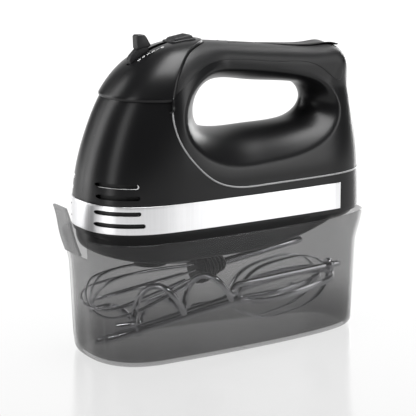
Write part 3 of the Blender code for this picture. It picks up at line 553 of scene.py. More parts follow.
def rolled(grid, end, radius=ROLL, depth=1.2, closed=False, centre=(0.0, 0.0, 150.0)):
    """Add a rounded edge to a grid's first (0) or last (-1) row.

    The row goes on outwards by radius times the sine of a turn and sinks by radius
    times one minus its cosine, then drops straight in. Radius may vary along the row.
    """
    normal = outward(grid, closed, centre)[end]
    edge = grid[end]
    if (normal * (edge - np.array(centre))).sum() < 0:
        normal = -normal
    inner = grid[2] if end == 0 else grid[-3]
    way = edge - inner
    way -= (way * normal).sum(-1, keepdims=True) * normal
    way /= np.maximum(np.linalg.norm(way, axis=-1, keepdims=True), 1e-9)
    r = np.broadcast_to(np.asarray(radius, float), edge.shape[:1])[:, None]
    rows = []
    for turn in np.radians([25, 50, 75, 90]):
        rows.append(edge + way * r * math.sin(turn) - normal * r * (1 - math.cos(turn)))
    rows.append(rows[-1] - normal * depth * np.minimum(1.0, r / ROLL))
    rows = np.array(rows)
    return np.concatenate([rows[::-1], grid]) if end == 0 else np.concatenate([grid, rows])


def seam_room(curve):
    """How far a shell stops short of a seam: gap and roll, fading at the rear corner."""
    return (EDGE + ROLL) * (1 - ease((curve[:, 0] - SEAM_FADE_X + 14) / 14))


# %% [markdown]
# ## Front shell
#
# The front shell runs round the nose from the steel strip up to the two seams and
# goes back along the flank as a narrow strip. Its columns crowd towards the nose and
# the tail, where the surface closes over the middle plane.

# %% Front shell
REAR_COLUMNS = 36
FLANK_COLUMNS = 110
NOSE_COLUMNS = 64
SHELL_ROWS = 42
seam_up = between(MAIN_LINE, (104.0, 111.4), JUNCTION, np.linspace(0, 1, 700))
seam_up = moved_aside(seam_up, seam_room(seam_up))
rear_end = int(np.argmin(np.abs(seam_up[:250, 0] - 70)))
to_rear = 1 - crowd(REAR_COLUMNS)[::-1]
high = np.vstack([along(seam_up[:rear_end + 1], to_rear),
                  along(seam_up[rear_end:], np.linspace(0, 1, FLANK_COLUMNS)[1:])])
cap_row = CAP_SEAM_Z - EDGE - ROLL
nose_top = OUTLINE_LINE[int(np.argmin(np.abs(OUTLINE_LINE[:900, 1] - cap_row)))]
high_nose = np.array(high[-1]) + crowd(NOSE_COLUMNS)[1:, None] * (nose_top - high[-1])
high_nose[:, 1] = cap_row + (high[-1, 1] - cap_row) * (1 - ease(crowd(NOSE_COLUMNS)[1:] * 8))
high = np.vstack([high, high_nose])
low_z = BAND_HIGH + 0.2
tail = OUTLINE_LINE[-400 + int(np.argmin(np.abs(OUTLINE_LINE[-400:, 1] - low_z)))]
nose_low = OUTLINE_LINE[int(np.argmin(np.abs(OUTLINE_LINE[:600, 1] - low_z)))]
low_x = np.concatenate([tail[0] + (70 - tail[0]) * to_rear,
                        70 + (-66 - 70) * np.linspace(0, 1, FLANK_COLUMNS)[1:],
                        -66 + (nose_low[0] + 66) * crowd(NOSE_COLUMNS)[1:]])
low = np.stack([low_x, np.full(len(low_x), low_z)], 1)
high[0, 0] = OUTLINE_LINE[-500 + int(np.argmin(np.abs(OUTLINE_LINE[-500:, 1] - high[0, 1]))), 0]
end = between(OUTLINE_LINE, nose_low, nose_top, np.linspace(0, 1, SHELL_ROWS))
low[-1], high[-1] = end[0], end[-1]
weight = np.concatenate([np.zeros(REAR_COLUMNS + FLANK_COLUMNS - 1), crowd(NOSE_COLUMNS)[1:]])
sheet = both_sides(patch(low, high, end, weight), closed=True)
half_roll = np.clip(seam_room(high) / (EDGE + ROLL), 0, 1) * ROLL
ring_roll = np.concatenate([half_roll, half_roll[-2:0:-1]])
sheet = rolled(sheet, -1, ring_roll, closed=True)
sheet = rolled(sheet, 0, 0.3, 0.8, closed=True)
housing = grid_piece("front_shell", sheet, body_black, wrap_cols=True)
housing = walled(housing, SHELL_WALL, (-1, 0, 0))
HOUSING_SLOTS = ((110.3, -97.5, -80.0), (117.6, -97.0, -80.5))
SLOT_HALF = 1.45


def vent_slots(piece, slots, inner):
    """Cut level slots (z, first x, last x) through both flanks, from y = inner outwards."""
    for z, x0, x1 in slots:
        for low, high in ((-60, -inner), (inner, 60)):
            carve(piece, rounded_slot("slot", (x0, z), (x1, z), SLOT_HALF, low, high))


vent_slots(housing, HOUSING_SLOTS, 8)
dress(housing, "mixer", "black_plastic", "motor_housing")

# %% [markdown]
# ## Cap over the nose
#
# The cap is a dome between the level seam and the arch of the main seam. It carries
# the slot of the speed lever and the window of the eject button, so both are cut
# through it.

# %% Cap
CAP_COLUMNS = 90
CAP_ROWS = 66
arch = moved_aside(between(MAIN_LINE, JUNCTION, (-16, 202.4), np.linspace(0, 1, 500)), EDGE + ROLL)
w = crowd(CAP_COLUMNS)
crest_end = OUTLINE_LINE[300 + int(np.argmin(np.abs(OUTLINE_LINE[300:1200, 0] - arch[-1, 0])))]
high = along(arch, w)
cap_low = CAP_SEAM_Z + EDGE + ROLL
nose_point = OUTLINE_LINE[int(np.argmin(np.abs(OUTLINE_LINE[:900, 1] - cap_low)))]
low = np.stack([high[0, 0] - 0.3 + w * (nose_point[0] - high[0, 0] + 0.3),
                np.full(CAP_COLUMNS, cap_low)], 1)
high[:, 1] = np.maximum(high[:, 1], cap_low + 0.6)
end = between(OUTLINE_LINE, nose_point, crest_end, np.linspace(0, 1, CAP_ROWS))
# Both rims are drawn on to the outline itself, so that the dome closes without a crease.
low = low + (w ** 6)[:, None] * (end[0] - low[-1])
high = high + (w ** 6)[:, None] * (end[-1] - high[-1])
sheet = both_sides(patch(low, high, end, w))
sheet = rolled(rolled(sheet, -1), 0)
cap = walled(grid_piece("nose_cap", sheet, body_black), SHELL_WALL, (-1, 0, 0))
LEVER_SLOT = (-67.4, -38.6)
LEVER_SLOT_HALF = 3.0
BUTTON_X = -29.5
WINDOW_HALF = (7.4, 6.4)
window = [(BUTTON_X + i * WINDOW_HALF[0], j * WINDOW_HALF[1])
          for i, j in ((-1, -1), (1, -1), (1, 1), (-1, 1))]
slot_ends = [(LEVER_SLOT[0] + LEVER_SLOT_HALF, 0), (LEVER_SLOT[1] - LEVER_SLOT_HALF, 0)]
carve(cap, rounded_slot("slot", *slot_ends, LEVER_SLOT_HALF, 182, 215, "Z"),
      prism("window", window, 190, 215, None, "Z"))
dress(cap, "mixer", "black_plastic", "head_cap")

# %% [markdown]
# ## Handle frame
#
# The frame is a ring round the finger opening. From its outer edge the side face runs
# in to a rounded lip, and from the lip the opening's wall flares in to a waist on the
# middle plane. Rows are worked out along rays from one centre, so that the lip, the
# flare and the crest each get as many rows as their curvature needs.

# %% Frame
FAN_CENTRE = np.array([20.0, 158.0])
FLARE_POWER = 1.8
LIP_ROUND = 2.4
LIP = [(-45.8, 158), (-42.7, 144.8), (-34.6, 135.9), (-22.5, 128.2), (-7, 124),
       (12.3, 124), (37.5, 126.1), (62, 133), (75, 142.4), (80.5, 153), (77, 163.5),
       (68, 171.5), (53, 177.2), (30, 181.6), (0, 184.6), (-20, 183.4), (-34, 177),
       (-42, 169)]
WAIST = [(-24.5, 160), (-20.5, 149.5), (-10, 145.4), (19, 145.3), (45, 146.3),
         (59.5, 150.5), (65.5, 160), (61, 168.5), (51, 171.6), (19, 174.8), (-6, 177),
         (-19, 172.5)]


def radius_at(curve, angles):
    """Distance from the fan's centre to a closed curve along each angle."""
    away = curve - FAN_CENTRE
    turn = np.unwrap(np.arctan2(away[:, 1], away[:, 0]))
    if turn[-1] < turn[0]:
        turn, away = turn[::-1], away[::-1]
    base = angles + 2 * math.pi * np.ceil((turn[0] - angles) / (2 * math.pi))
    return np.interp(base, turn, np.hypot(away[:, 0], away[:, 1]))


def angle_of(point):
    """Turn of a side-view point round the fan's centre, from 0 to a full turn."""
    return math.atan2(point[1] - FAN_CENTRE[1], point[0] - FAN_CENTRE[0]) % (2 * math.pi)


main_down = between(MAIN_LINE, (-16, 202.4), (104.0, 111.4), np.linspace(0, 1, 1400))
rear_up = between(OUTLINE_LINE, (104.0, 111.4), (-16, 202.5), np.linspace(0, 1, 1400))
aside = moved_aside(main_down, seam_room(main_down))
border = np.vstack([aside, rear_up, aside[:1]])
corners = np.array([angle_of(aside[-1]), angle_of(rear_up[-1])])
angles = np.linspace(0, 2 * math.pi, 260, endpoint=False)
angles = angles[np.abs(angles[:, None] - corners).min(1) > 0.008]
angles = np.sort(np.concatenate([angles, corners - 0.004, corners + 0.004]))
on_crest = (angles > corners[0]) | (angles < corners[1]) if corners[0] > corners[1] else (
    (angles > corners[0]) & (angles < corners[1]))
lip = radius_at(smooth_curve(LIP, 900, True), angles)
waist = radius_at(smooth_curve(WAIST, 900, True), angles)
outer = radius_at(border, angles)


def on_ray(radius):
    """Side-view x and z at a radius on every ray of the fan."""
    return FAN_CENTRE[0] + radius * np.cos(angles), FAN_CENTRE[1] + radius * np.sin(angles)


rows = []
for f in crowd(30)[:0:-1]:
    x, z = on_ray(lip + LIP_ROUND + (outer - lip - LIP_ROUND) * f)
    rows.append(np.column_stack([x, -side_y(x, z), z]))
rows[0][on_crest, 1] = 0.0
lip_x, lip_z = on_ray(lip)
lip_y = side_y(lip_x, lip_z)
lip_point = np.column_stack([lip_x, -lip_y, lip_z])
x, z = on_ray(lip + LIP_ROUND)
before = np.column_stack([x, -side_y(x, z), z])
u_after = (lip_y - LIP_ROUND) / lip_y
x, z = on_ray(waist + (lip - waist) * u_after ** FLARE_POWER)
after = np.column_stack([x, -lip_y * u_after, z])
for t in np.linspace(0, 1, 9):
    rows.append((1 - t) ** 2 * before + 2 * t * (1 - t) * lip_point + t ** 2 * after)
for k in np.linspace(1, 0, 24)[1:]:
    x, z = on_ray(waist + (lip - waist) * (u_after * k) ** FLARE_POWER)
    rows.append(np.column_stack([x, -lip_y * u_after * k, z]))
half = np.array(rows)
edge_roll = np.where(on_crest, 0.0, 1.0)
room = np.interp(np.arctan2(half[0, :, 2] - 158, half[0, :, 0] - 20) % (2 * math.pi),
                 *(np.sort(np.array([[angle_of(p), r] for p, r in
                                     zip(aside[::20], seam_room(main_down)[::20])]), axis=0).T))
edge_roll = edge_roll * ROLL * np.clip(room / (EDGE + ROLL), 0, 1)
half = rolled(half, 0, edge_roll, closed=True, centre=(20.0, 0.0, 158.0))
ring = np.concatenate([half, half[-2::-1] * np.array([1.0, -1.0, 1.0])])
frame_piece = grid_piece("handle_frame_shell", ring, body_black, wrap_cols=True)
probe = min(frame_piece.data.polygons, key=lambda f: (f.center - Vector((0.02, 0, 0.1453))).length)
if probe.normal.z < 0:
    frame_piece.data.flip_normals()
thickened(frame_piece, SHELL_WALL)
carve(frame_piece, turned("hole", [(0, 0), (5.6, 0), (5.6, 16), (0, 16)], None,
                          (95, 0, 122), (111, 0, 122)))
dress(frame_piece, "mixer", "black_plastic", "handle_frame", "rear_cover")

# %% [markdown]
# ## Soft grip
#
# The grip is a skin moulded over the top of the handle, with a pointed tongue behind.
# It stands a third of a millimetre proud and its edge is rolled down, so a fine line
# shows all round it.

# %% Grip
GRIP_SEAM = [(-51.6, 173.6), (-45.8, 177.2), (-37, 183.0), (-29.3, 187), (-20, 190),
             (-8.2, 191.2), (10, 190.4), (39, 187.2), (58.9, 185.4), (66.3, 182.6),
             (72, 178.8), (77, 174.8), (81.5, 172.2)]
TONGUE = [(81.5, 172.2), (84.4, 172.4), (85.8, 175.6), (85.5, 182), (86.1, 190), (87, 195.3)]
GRIP_LIFT = 0.3
GRIP_ROWS = 170
GRIP_COLUMNS = 46
w = crowd(GRIP_COLUMNS)
arch = moved_aside(between(MAIN_LINE, (-51.0, 176.0), (-15.2, 202.4), np.linspace(0, 1, 400)),
                   -(EDGE + 0.5))
front = along(arch, w)
rear = along(smooth_curve(TONGUE, 300), w)
seam = along(smooth_curve(GRIP_SEAM, 900), np.linspace(0, 1, GRIP_ROWS))
top = between(OUTLINE_LINE, front[-1], rear[-1], np.linspace(0, 1, GRIP_ROWS))
front[0], rear[0] = seam[0], seam[-1]
front[-1], rear[-1] = top[0], top[-1]
sheet = both_sides(patch(front, rear, top, w, seam), GRIP_LIFT)
for _ in range(2):
    sheet = rolled(rolled(sheet.transpose(1, 0, 2), 0, 0.4, 0.5), -1, 0.4, 0.5)
grip = walled(grid_piece("grip_skin", sheet, grip_black), 0.7, (0, 0, 1))
dress(grip, "mixer", "soft_grip", "grip_cover")

# %% [markdown]
# ## Steel strip
#
# A brushed strip is wrapped round the nose, half a millimetre proud of the plastic.
# It follows the same half-width function, and its slots are cut through it.

# %% Strip
STRIP_PROUD = 0.5
STRIP_COLUMNS = 130
nose_fraction = (1 - crowd(STRIP_COLUMNS))[::-1]
strip_rows = []
for z in np.linspace(BAND_LOW + 0.3, BAND_HIGH - 0.3, 12):
    nose = float(np.interp(z, OUTLINE_LINE[:600, 1], OUTLINE_LINE[:600, 0]))
    x = nose + (BAND_REAR_X - nose) * nose_fraction
    y = side_y(x, np.full_like(x, z))
    y[0] = 0.0
    loop = np.column_stack([np.concatenate([x[::-1], x[1:]]), np.concatenate([-y[::-1], y[1:]])])
    run = np.gradient(loop, axis=0)
    run /= np.linalg.norm(run, axis=1)[:, None]
    loop = loop + STRIP_PROUD * np.column_stack([-run[:, 1], run[:, 0]])
    strip_rows.append(np.column_stack([loop, np.full(len(loop), z)]))
sheet = rolled(rolled(np.array(strip_rows), 0, 0.25, 0.3), -1, 0.25, 0.3)
strip = walled(grid_piece("steel_strip", sheet, brushed), 0.9, (-1, 0, 0))
STRIP_SLOTS = ((92.8, -99.0, -77.4), (100.4, -98.8, -79.6))
vent_slots(strip, STRIP_SLOTS, 10)
dress(strip, "mixer", "brushed_steel", "trim_band")

# %% [markdown]
# ## Underside
#
# The tub under the mixer has a boat-shaped bottom that rises towards both ends. Its
# rings follow the body's plan at a height, drawn in step by step round the bilge.


# %% Underside
def hull_bottom(x):
    """Height of the underside: level amidships, rising with the square of the distance."""
    rise = np.where(x > 0, 0.0025 * x ** 2, np.where(x < -50, 0.0027 * (x + 50) ** 2, 0))
    return np.minimum(65.0 + rise, 78.0)


def plan_ring(z, inset, count):
    """Closed outline of the body at a height: x by a cosine, y by the half-width."""
    t = np.linspace(0, math.pi, count // 2 + 1)
    x_front = np.interp(z, OUTLINE_LINE[:900, 1], OUTLINE_LINE[:900, 0]) + inset
    x_rear = np.interp(z, OUTLINE_LINE[:-500:-1, 1], OUTLINE_LINE[:-500:-1, 0]) - inset
    x = (x_front + x_rear) / 2 + (x_rear - x_front) / 2 * np.cos(t)
    y = side_y(x, np.full_like(x, z), inset)
    y[0] = y[-1] = 0.0
    near = np.stack([x, -y], 1)
    return np.vstack([near, near[-2:0:-1] * np.array([1.0, -1.0])])


TUB_COUNT = 240
bilge = smooth_curve([(9, 0), (4, 1.6), (1.6, 5.5), (0.8, 12)], 14)
base_ring = plan_ring(86.0, 10.0, TUB_COUNT)
middle = np.array([2.0, 0.0])
rings = []
for k in (0.02, 0.3, 0.6, 0.85):
    flat = middle + (base_ring - middle) * k
    rings.append(np.column_stack([flat, hull_bottom(flat[:, 0])]))
for inset, rise in bilge:
    flat = plan_ring(86.0, inset + 1.0, TUB_COUNT)
    rings.append(np.column_stack([flat, hull_bottom(flat[:, 0]) + rise]))
for z, inset in ((84.0, 0.4), (86.3, 0.0), (86.7, 0.0)):
    rings.append(np.column_stack([plan_ring(z, inset, TUB_COUNT), np.full(TUB_COUNT, z)]))
for z in (86.75, 95.0, BAND_HIGH + 0.05):
    flat = plan_ring(z, 0.0, TUB_COUNT)
    keep = (flat[:, 0] > BAND_REAR_X + 0.8)[:, None]
    rings.append(np.column_stack([np.where(keep, flat, plan_ring(z, 1.3, TUB_COUNT)),
                                  np.full(TUB_COUNT, z)]))
tub = grid_piece("mixer_tub", np.array(rings), hull_black, wrap_cols=True)
bm = bmesh.new()
bm.from_mesh(tub.data)
low_edge = [e for e in bm.edges if e.is_boundary and sum(v.co.z for v in e.verts) / 2 < 0.08]
bmesh.ops.contextual_create(bm, geom=low_edge)
bm.to_mesh(tub.data)
bm.free()
tub = walled(tub, 1.8, (0, 0, -1))
SPINDLE_X = -62.0
SPINDLE_Y = 19.0
for side in (-SPINDLE_Y, SPINDLE_Y):
    carve(tub, turned("hole", [(0, 0), (11, 0), (11, 30), (0, 30)], None,
                      (SPINDLE_X, side, 51), (SPINDLE_X, side, 81)))
dress(sharp(tub), "mixer", "black_plastic", "base_housing")

# %% [markdown]
# ## Storage case
#
# The case is a thin smoked shell. Its plan is a superellipse, rounder at the nose than
# behind, its wall leans out a little and then flares to the rim. The rim dips on both
# sides of the latch, and a faint upright rib stands at each side of the front facet.

# %% Case
CASE_HALF_LENGTH = 107.5
CASE_HALF_WIDTH = 49.0
CASE_RIM_Z = 82.0
CASE_WALL = 1.8
CASE_INSET = 7.0
CASE_WIDEST_X = -60.0
CASE_COUNT = 560
RIB_Y = 26.0


def case_outline(inset):
    """Superellipse with its own power and reach towards the nose and the tail."""
    t = np.linspace(0, 2 * math.pi, CASE_COUNT, endpoint=False)
    c, s = np.cos(t), np.sin(t)
    power = np.where(c < 0, 2.5, 3.9)
    reach = np.where(c < 0, CASE_HALF_LENGTH + CASE_WIDEST_X, CASE_HALF_LENGTH - CASE_WIDEST_X)
    inset = np.broadcast_to(inset, t.shape)
    x = CASE_WIDEST_X + (reach - inset) * np.sign(c) * np.abs(c) ** (2 / power)
    half = (CASE_HALF_WIDTH - inset) * np.sign(s) * np.abs(s) ** (2 / power)
    taper = np.clip((x - CASE_WIDEST_X) / (CASE_HALF_LENGTH - CASE_WIDEST_X), 0, 1) ** 1.5
    return x, half * (1 - 0.25 * taper)


def case_inset(z):
    """How far the wall stands inside the rim: a straight lean, then an eased flare."""
    return CASE_INSET * (1 - 0.45 * z / CASE_RIM_Z) * (1 - ease((z - 58) / 26))


plain_x, plain_y = case_outline(3.0)
in_front = plain_x < -70
dip = np.where(in_front, 1 - ease((np.abs(plain_y) - 13.0) / 3.5), 0.0)
rim = CASE_RIM_Z - 13.0 * dip
rib = np.where(in_front, np.exp(-((np.abs(plain_y) - RIB_Y) / 1.2) ** 2), 0.0)
profile = [(CASE_INSET + 16, 0.0 * rim), (CASE_INSET + 4.8, 0.0 * rim)]
for turn in np.radians([18, 36, 54, 72]):
    profile.append((CASE_INSET + 4.8 * (1 - math.sin(turn)), 4.8 * (1 - math.cos(turn)) + 0 * rim))
for k in np.linspace(0, 1, 26):
    z = 4.8 + (rim - CASE_WALL / 2 - 4.8) * k
    profile.append((case_inset(z), z))
for turn in np.radians([30, 60, 90, 120, 150]):
    profile.append((case_inset(rim) + CASE_WALL / 2 * (1 - math.cos(turn)),
                    rim - CASE_WALL / 2 * (1 - math.sin(turn))))
for k in np.linspace(1, 0, 20):
    z = 6.0 + (rim - CASE_WALL / 2 - 6.0) * k
    profile.append((case_inset(z) + CASE_WALL, z))
profile += [(CASE_INSET + CASE_WALL + 1.2, 3.2 + 0 * rim), (CASE_INSET + CASE_WALL + 4.0, 2.2 + 0 * rim),
            (CASE_INSET + 16, 2.2 + 0 * rim)]
rings = []
for number, (inset, z) in enumerate(profile):
    raised = rib * 0.45 * np.clip((z - 4) / 8, 0, 1) * np.clip((74 - z) / 8, 0, 1)
    x, y = case_outline(inset - raised)
    rings.append(np.column_stack([x, y, z]))
case = sharp(grid_piece("smoked_case_shell", np.array(rings), smoke, wrap_cols=True, caps=True), 50)
dress(case, "case", "case_plastic", "storage_case")

# %% [markdown]
# ## Latch
#
# The latch is a springy tab that leans out from the front wall. A flat rounded
# section is carried along its bent centre line, and fine ribs cross the thumb pad.

# %% Latch
LATCH_ROWS = 120
line = smooth_curve([(-107.5, 71.6), (-109.9, 78), (-112.6, 88), (-114.0, 95), (-116.3, 102.5)],
                    LATCH_ROWS)
run = np.gradient(line, axis=0)
run /= np.linalg.norm(run, axis=1)[:, None]
square = np.stack([-run[:, 1], run[:, 0]], 1)
fraction = np.linspace(0, 1, LATCH_ROWS)
half_wide = np.interp(fraction, [0, 0.3, 1], [11.5, 11.0, 9.5])
angle = np.linspace(0, 2 * math.pi, 48, endpoint=False)
across = np.sign(np.cos(angle)) * np.abs(np.cos(angle)) ** 0.3
through = np.sign(np.sin(angle)) * np.abs(np.sin(angle)) ** 0.3
pad = ease((fraction - 0.55) / 0.08) * ease((0.97 - fraction) / 0.05)
ribs = 0.32 * pad * np.cos(fraction * 32.0 / 2.0 * 2 * math.pi)
offset = through[None] * 0.85 + np.where(through > 0.5, 1.0, 0.0)[None] * ribs[:, None] * (
    np.abs(across) < 0.8)[None]
grid = np.empty((LATCH_ROWS, 48, 3))
grid[..., 0] = line[:, :1] + square[:, :1] * offset
grid[..., 1] = half_wide[:, None] * across
grid[..., 2] = line[:, 1:] + square[:, 1:] * offset
latch = sharp(grid_piece("case_latch", grid, smoke_thick, wrap_cols=True, caps=True))
dress(latch, "latch", "case_plastic", "front_latch")

# %% [markdown]
# ## Speed lever and its dial
#
# The lever is a fin with a narrow foot in its slot and a wider thumb block on top.
# Both are flat outlines carried across and rounded by a bevel. The dial marks are
# printed numbers, so they are thin text made a mesh and laid on the cap.


# %% Lever
def joined(first, *others):
    """Join pieces that are one moulding into one object, without Blender's operators."""
    bm = bmesh.new()
    for obj in (first, *others):
        bm.from_mesh(obj.data)
    bm.to_mesh(first.data)
    bm.free()
    for obj in others:
        bpy.data.objects.remove(obj, do_unlink=True)
    return sharp(first)


FOOT = [(-67.0, 192.4), (-65.6, 195.2), (-61.4, 199.4), (-56.0, 203.0), (-53.2, 200.4), (-52.8, 197.0),
        (-55.0, 190.8), (-63.4, 187.4), (-66.0, 189.6)]
THUMB = [(-61.6, 199.2), (-61.9, 207.0), (-61.2, 208.4), (-56.2, 208.3), (-54.9, 206.8), (-51.6, 201.2),
         (-53.5, 200.2), (-58.5, 199.6)]
FOOT_HALF = 2.5
THUMB_HALF = 3.6
foot = bevelled(prism("speed_lever_fin", FOOT, -FOOT_HALF, FOOT_HALF, control_black), 0.6)
thumb = bevelled(prism("thumb", THUMB, -THUMB_HALF, THUMB_HALF, control_black), 0.8)
dress(joined(foot, thumb), "speed_lever", "control_black", "speed_lever")


# %% Dial marks
MARK_REACH = 0.6             # how far the slope of the cap is felt for
MARK_LIFT = 0.10
cap_mesh = bmesh.new()
cap_mesh.from_mesh(cap.data)
cap_tree = BVHTree.FromBMesh(cap_mesh)
cap_mesh.free()


def cap_top(x, y):
    """Height of the finished cap under a plan point, by a ray cast straight down."""
    hit = cap_tree.ray_cast(Vector((x * MM, y * MM, 0.3)), Vector((0, 0, -1)))[0]
    return hit.z / MM


def mark(text, x, y, size=3.2):
    """A printed character laid on the cap, read from the handle's side."""
    data = bpy.data.curves.new("mark", "FONT")
    data.body = text
    data.size = size * MM
    data.offset = 0.11 * MM
    data.align_x = "CENTER"
    data.align_y = "CENTER"
    data.extrude = 0.04 * MM
    holder = bpy.data.objects.new("mark", data)
    bpy.context.scene.collection.objects.link(holder)
    bpy.context.view_layer.update()
    mesh = bpy.data.meshes.new_from_object(holder)
    bpy.data.objects.remove(holder, do_unlink=True)
    here = np.array([x, y, cap_top(x, y)])
    forward = np.array([x - MARK_REACH, y, cap_top(x - MARK_REACH, y)]) - here
    inward = np.array([x, y + MARK_REACH, cap_top(x, y + MARK_REACH)]) - here
    normal = Vector(np.cross(inward, forward)).normalized()
    if normal.z < 0:
        normal = -normal
    up = Vector(forward).normalized()
    right = up.cross(normal)
    place = Vector(here * MM) + normal * MARK_LIFT * MM
    for v in mesh.vertices:
        v.co = place + right * v.co.x + up * v.co.y + normal * v.co.z
    return link("mark", mesh, print_grey)


DIAL = (("5", -61.9, -6.3), ("4", -58.8, -6.7), ("3", -55.6, -7.0), ("2", -52.4, -7.3),
        ("1", -49.2, -7.5), ("0", -45.9, -7.8))
numbers = [mark(*entry) for entry in DIAL]
dial = joined(*numbers)
dial.name = "dial_numbers"
dress(dial, "mixer", "inner_plastic")

# %% [markdown]
# ## Eject button
#
# The button is a rounded block that slopes with the handle, with raised ribs for the
# thumb. A bezel, an oval rod bent to a rounded rectangle, frames its window.

# %% Button
BUTTON_WIDTH = 11.8
button_side = [(BUTTON_X - 6.9, 192.0), (BUTTON_X + 6.9, 192.0), (BUTTON_X + 6.9, 206.0),
               (BUTTON_X + 5.6, 206.8), (BUTTON_X - 6.0, 204.9), (BUTTON_X - 6.9, 203.6)]
button = bevelled(prism("eject_button_cap", button_side, -BUTTON_WIDTH / 2, BUTTON_WIDTH / 2,
                        control_black), 0.7)
ribs = []
for y in np.linspace(-4.2, 4.2, 6):
    line = np.array([(BUTTON_X - 5.4, y, 205.0), (BUTTON_X, y, 205.9), (BUTTON_X + 5.2, y, 206.8)])
    ribs.append(rod("rib", line, 0.42, 0.32, control_black, (0, 0, 1), 8))
dress(joined(button, *ribs), "ejector", "control_black", "eject_button")

# %% Bezel
turn = np.linspace(0, 2 * math.pi, 96, endpoint=False)
BEZEL_HALF = (8.2, 7.1)
BEZEL_POWER = 0.22           # the smaller, the squarer
BEZEL_LIFT = 0.20
bezel_x = BUTTON_X + BEZEL_HALF[0] * np.sign(np.cos(turn)) * np.abs(np.cos(turn)) ** BEZEL_POWER
bezel_y = BEZEL_HALF[1] * np.sign(np.sin(turn)) * np.abs(np.sin(turn)) ** BEZEL_POWER
bezel_z = np.array([cap_top(x, y) for x, y in zip(bezel_x, bezel_y)]) + BEZEL_LIFT
bezel = rod("button_bezel", np.column_stack([bezel_x, bezel_y, bezel_z]), 1.0, 0.75, control_black,
            (0, 0, 1), 12, closed=True)
dress(sharp(bezel, 60), "mixer", "control_black")

# %% [markdown]
# ## Seam highlight
#
# A pale grey round rod lies along the main seam on each flank, on the body's own surface: its colour is
# a painted highlight for the light the seam's rounded edge catches.


# %% Painted seam highlight
HIGHLIGHT_ROD_LIFT = 0.1


def highlight_rod(name, plan, radius):
    """A round rod along a side-view curve on the near flank, and its mirror image."""
    x, z = plan[:, 0], plan[:, 1]
    y = side_y(x, z)
    lean = np.column_stack([side_y(x - 0.2, z) - side_y(x + 0.2, z), np.full_like(x, -0.4),
                            side_y(x, z - 0.2) - side_y(x, z + 0.2)])
    lean /= np.linalg.norm(lean, axis=1)[:, None]
    near = np.column_stack([x, -y, z]) + HIGHLIGHT_ROD_LIFT * lean
    far = near * np.array([1.0, -1.0, 1.0])
    pieces = [rod(name, line, radius, radius, seam_highlight_grey, carried_frame(line), 10)
              for line in (near, far)]
    return joined(*pieces)


main_plan = MAIN_LINE[side_y(MAIN_LINE[:, 0], MAIN_LINE[:, 1], 0.2) > 4.0]
dress(highlight_rod("main_seam_bead", main_plan[::6], 0.55), "mixer", "inner_plastic")

# %% [markdown]
# ## Vent linings
#
# Behind each row of slots a dark liner keeps the light from shining through the
# shells, as the inner wall does on the real machine, and its near-black colour is also
# painted shade inside the slots. It is a strip of the same body surface, drawn in by a
# few millimetres.

# %% Liners
liner_rows = []
LINER_INSET = 3.2
for z in np.linspace(88.5, 121.0, 14):
    x = np.linspace(-96.0, -70.0, 40)
    level = np.full_like(x, z)
    liner_rows.append(np.column_stack([x, -side_y(x, level, LINER_INSET), level]))
near_liner = np.array(liner_rows)
for number, sheet in enumerate((near_liner, near_liner * np.array([1.0, -1.0, 1.0])), 1):
    liner = walled(grid_piece(f"vent_liner_{number}", sheet, vent_shade_black), 0.6,
                   (0, -1 if number == 1 else 1, 0))
    dress(liner, "mixer", "inner_plastic")

# %% [markdown]
# ## Whisk
#
# Five bent wires leave a tapered, ribbed hub on a steel shaft. Each wire is half an
# outline spline, mirrored over the tip, and turned round the whisk's axis.

# %% Bow
def bow(outline, count):
    """Half an outline of (out, along) splined, mirrored over its tip, splined again."""
    half = smooth_curve(outline, 60)
    full = np.vstack([half, (half * np.array([-1.0, 1.0]))[-2::-1]])
    return smooth_curve(full[::6], count)


# %% Whisk
WHISK_TIP = (-97.5, 7.0, 35.0)
WHISK_END = (72.0, 9.0, 58.0)
BALLOON = 83.0
WIRE_R = 0.85
WHISK_WIRES = 5
axis, side, up, length = frame_along(WHISK_END, WHISK_TIP)
face = length - BALLOON
hub = face - 24
dress(turned("whisk_stem", [(0, 0), (2.2, 0), (2.6, 0.8), (2.6, 20), (2.1, 20.6), (2.1, 22.4), (2.6, 23),
                            (2.6, hub - 0.3), (0, hub - 0.3)], bright, WHISK_END, WHISK_TIP),
      "whisk", "bright_steel", "whisk_shaft")
hub_profile = [(0, hub), (4.2, hub), (5.0, hub + 0.8)]
for k in range(6):
    start = hub + 2.0 + 3.2 * k
    radius = 5.2 + 4.2 * ease((start - hub) / 17)
    hub_profile += [(radius, start), (radius + 0.55, start + 0.5), (radius + 0.55, start + 1.6),
                    (radius, start + 2.1)]
hub_profile += [(9.4, face - 1.4), (8.8, face - 0.5), (0, face - 0.5)]
dress(turned("whisk_grip_hub", hub_profile, hub_black, WHISK_END, WHISK_TIP, 56), "whisk", "hub_plastic",
      "whisk_hub")
for index in range(WHISK_WIRES):
    turn = math.pi * (index + 0.5) / WHISK_WIRES
    out = math.cos(turn) * side + math.sin(turn) * up
    tip = BALLOON - 2.3 * index
    outline = [(6.2, -1.5), (9.5, 12), (13.2, 28), (16.2, 46), (16.4, 60), (12.4, tip - 6), (0, tip)]
    full = bow(outline, 150)
    points = np.array(WHISK_END) + axis * (face + full[:, 1:]) + out * full[:, :1]
    dress(rod(f"whisk_bow_{index + 1}", points, WIRE_R, WIRE_R, bright, np.cross(axis, out), 12),
          "whisk", "bright_steel", f"whisk_wire_{index + 1}")

# %% [markdown]
# ## Beaters
#
# Each beater is a shaft with a collar and two crossed loops of flat strip, which is
# thin in the loop's plane and wide across it.

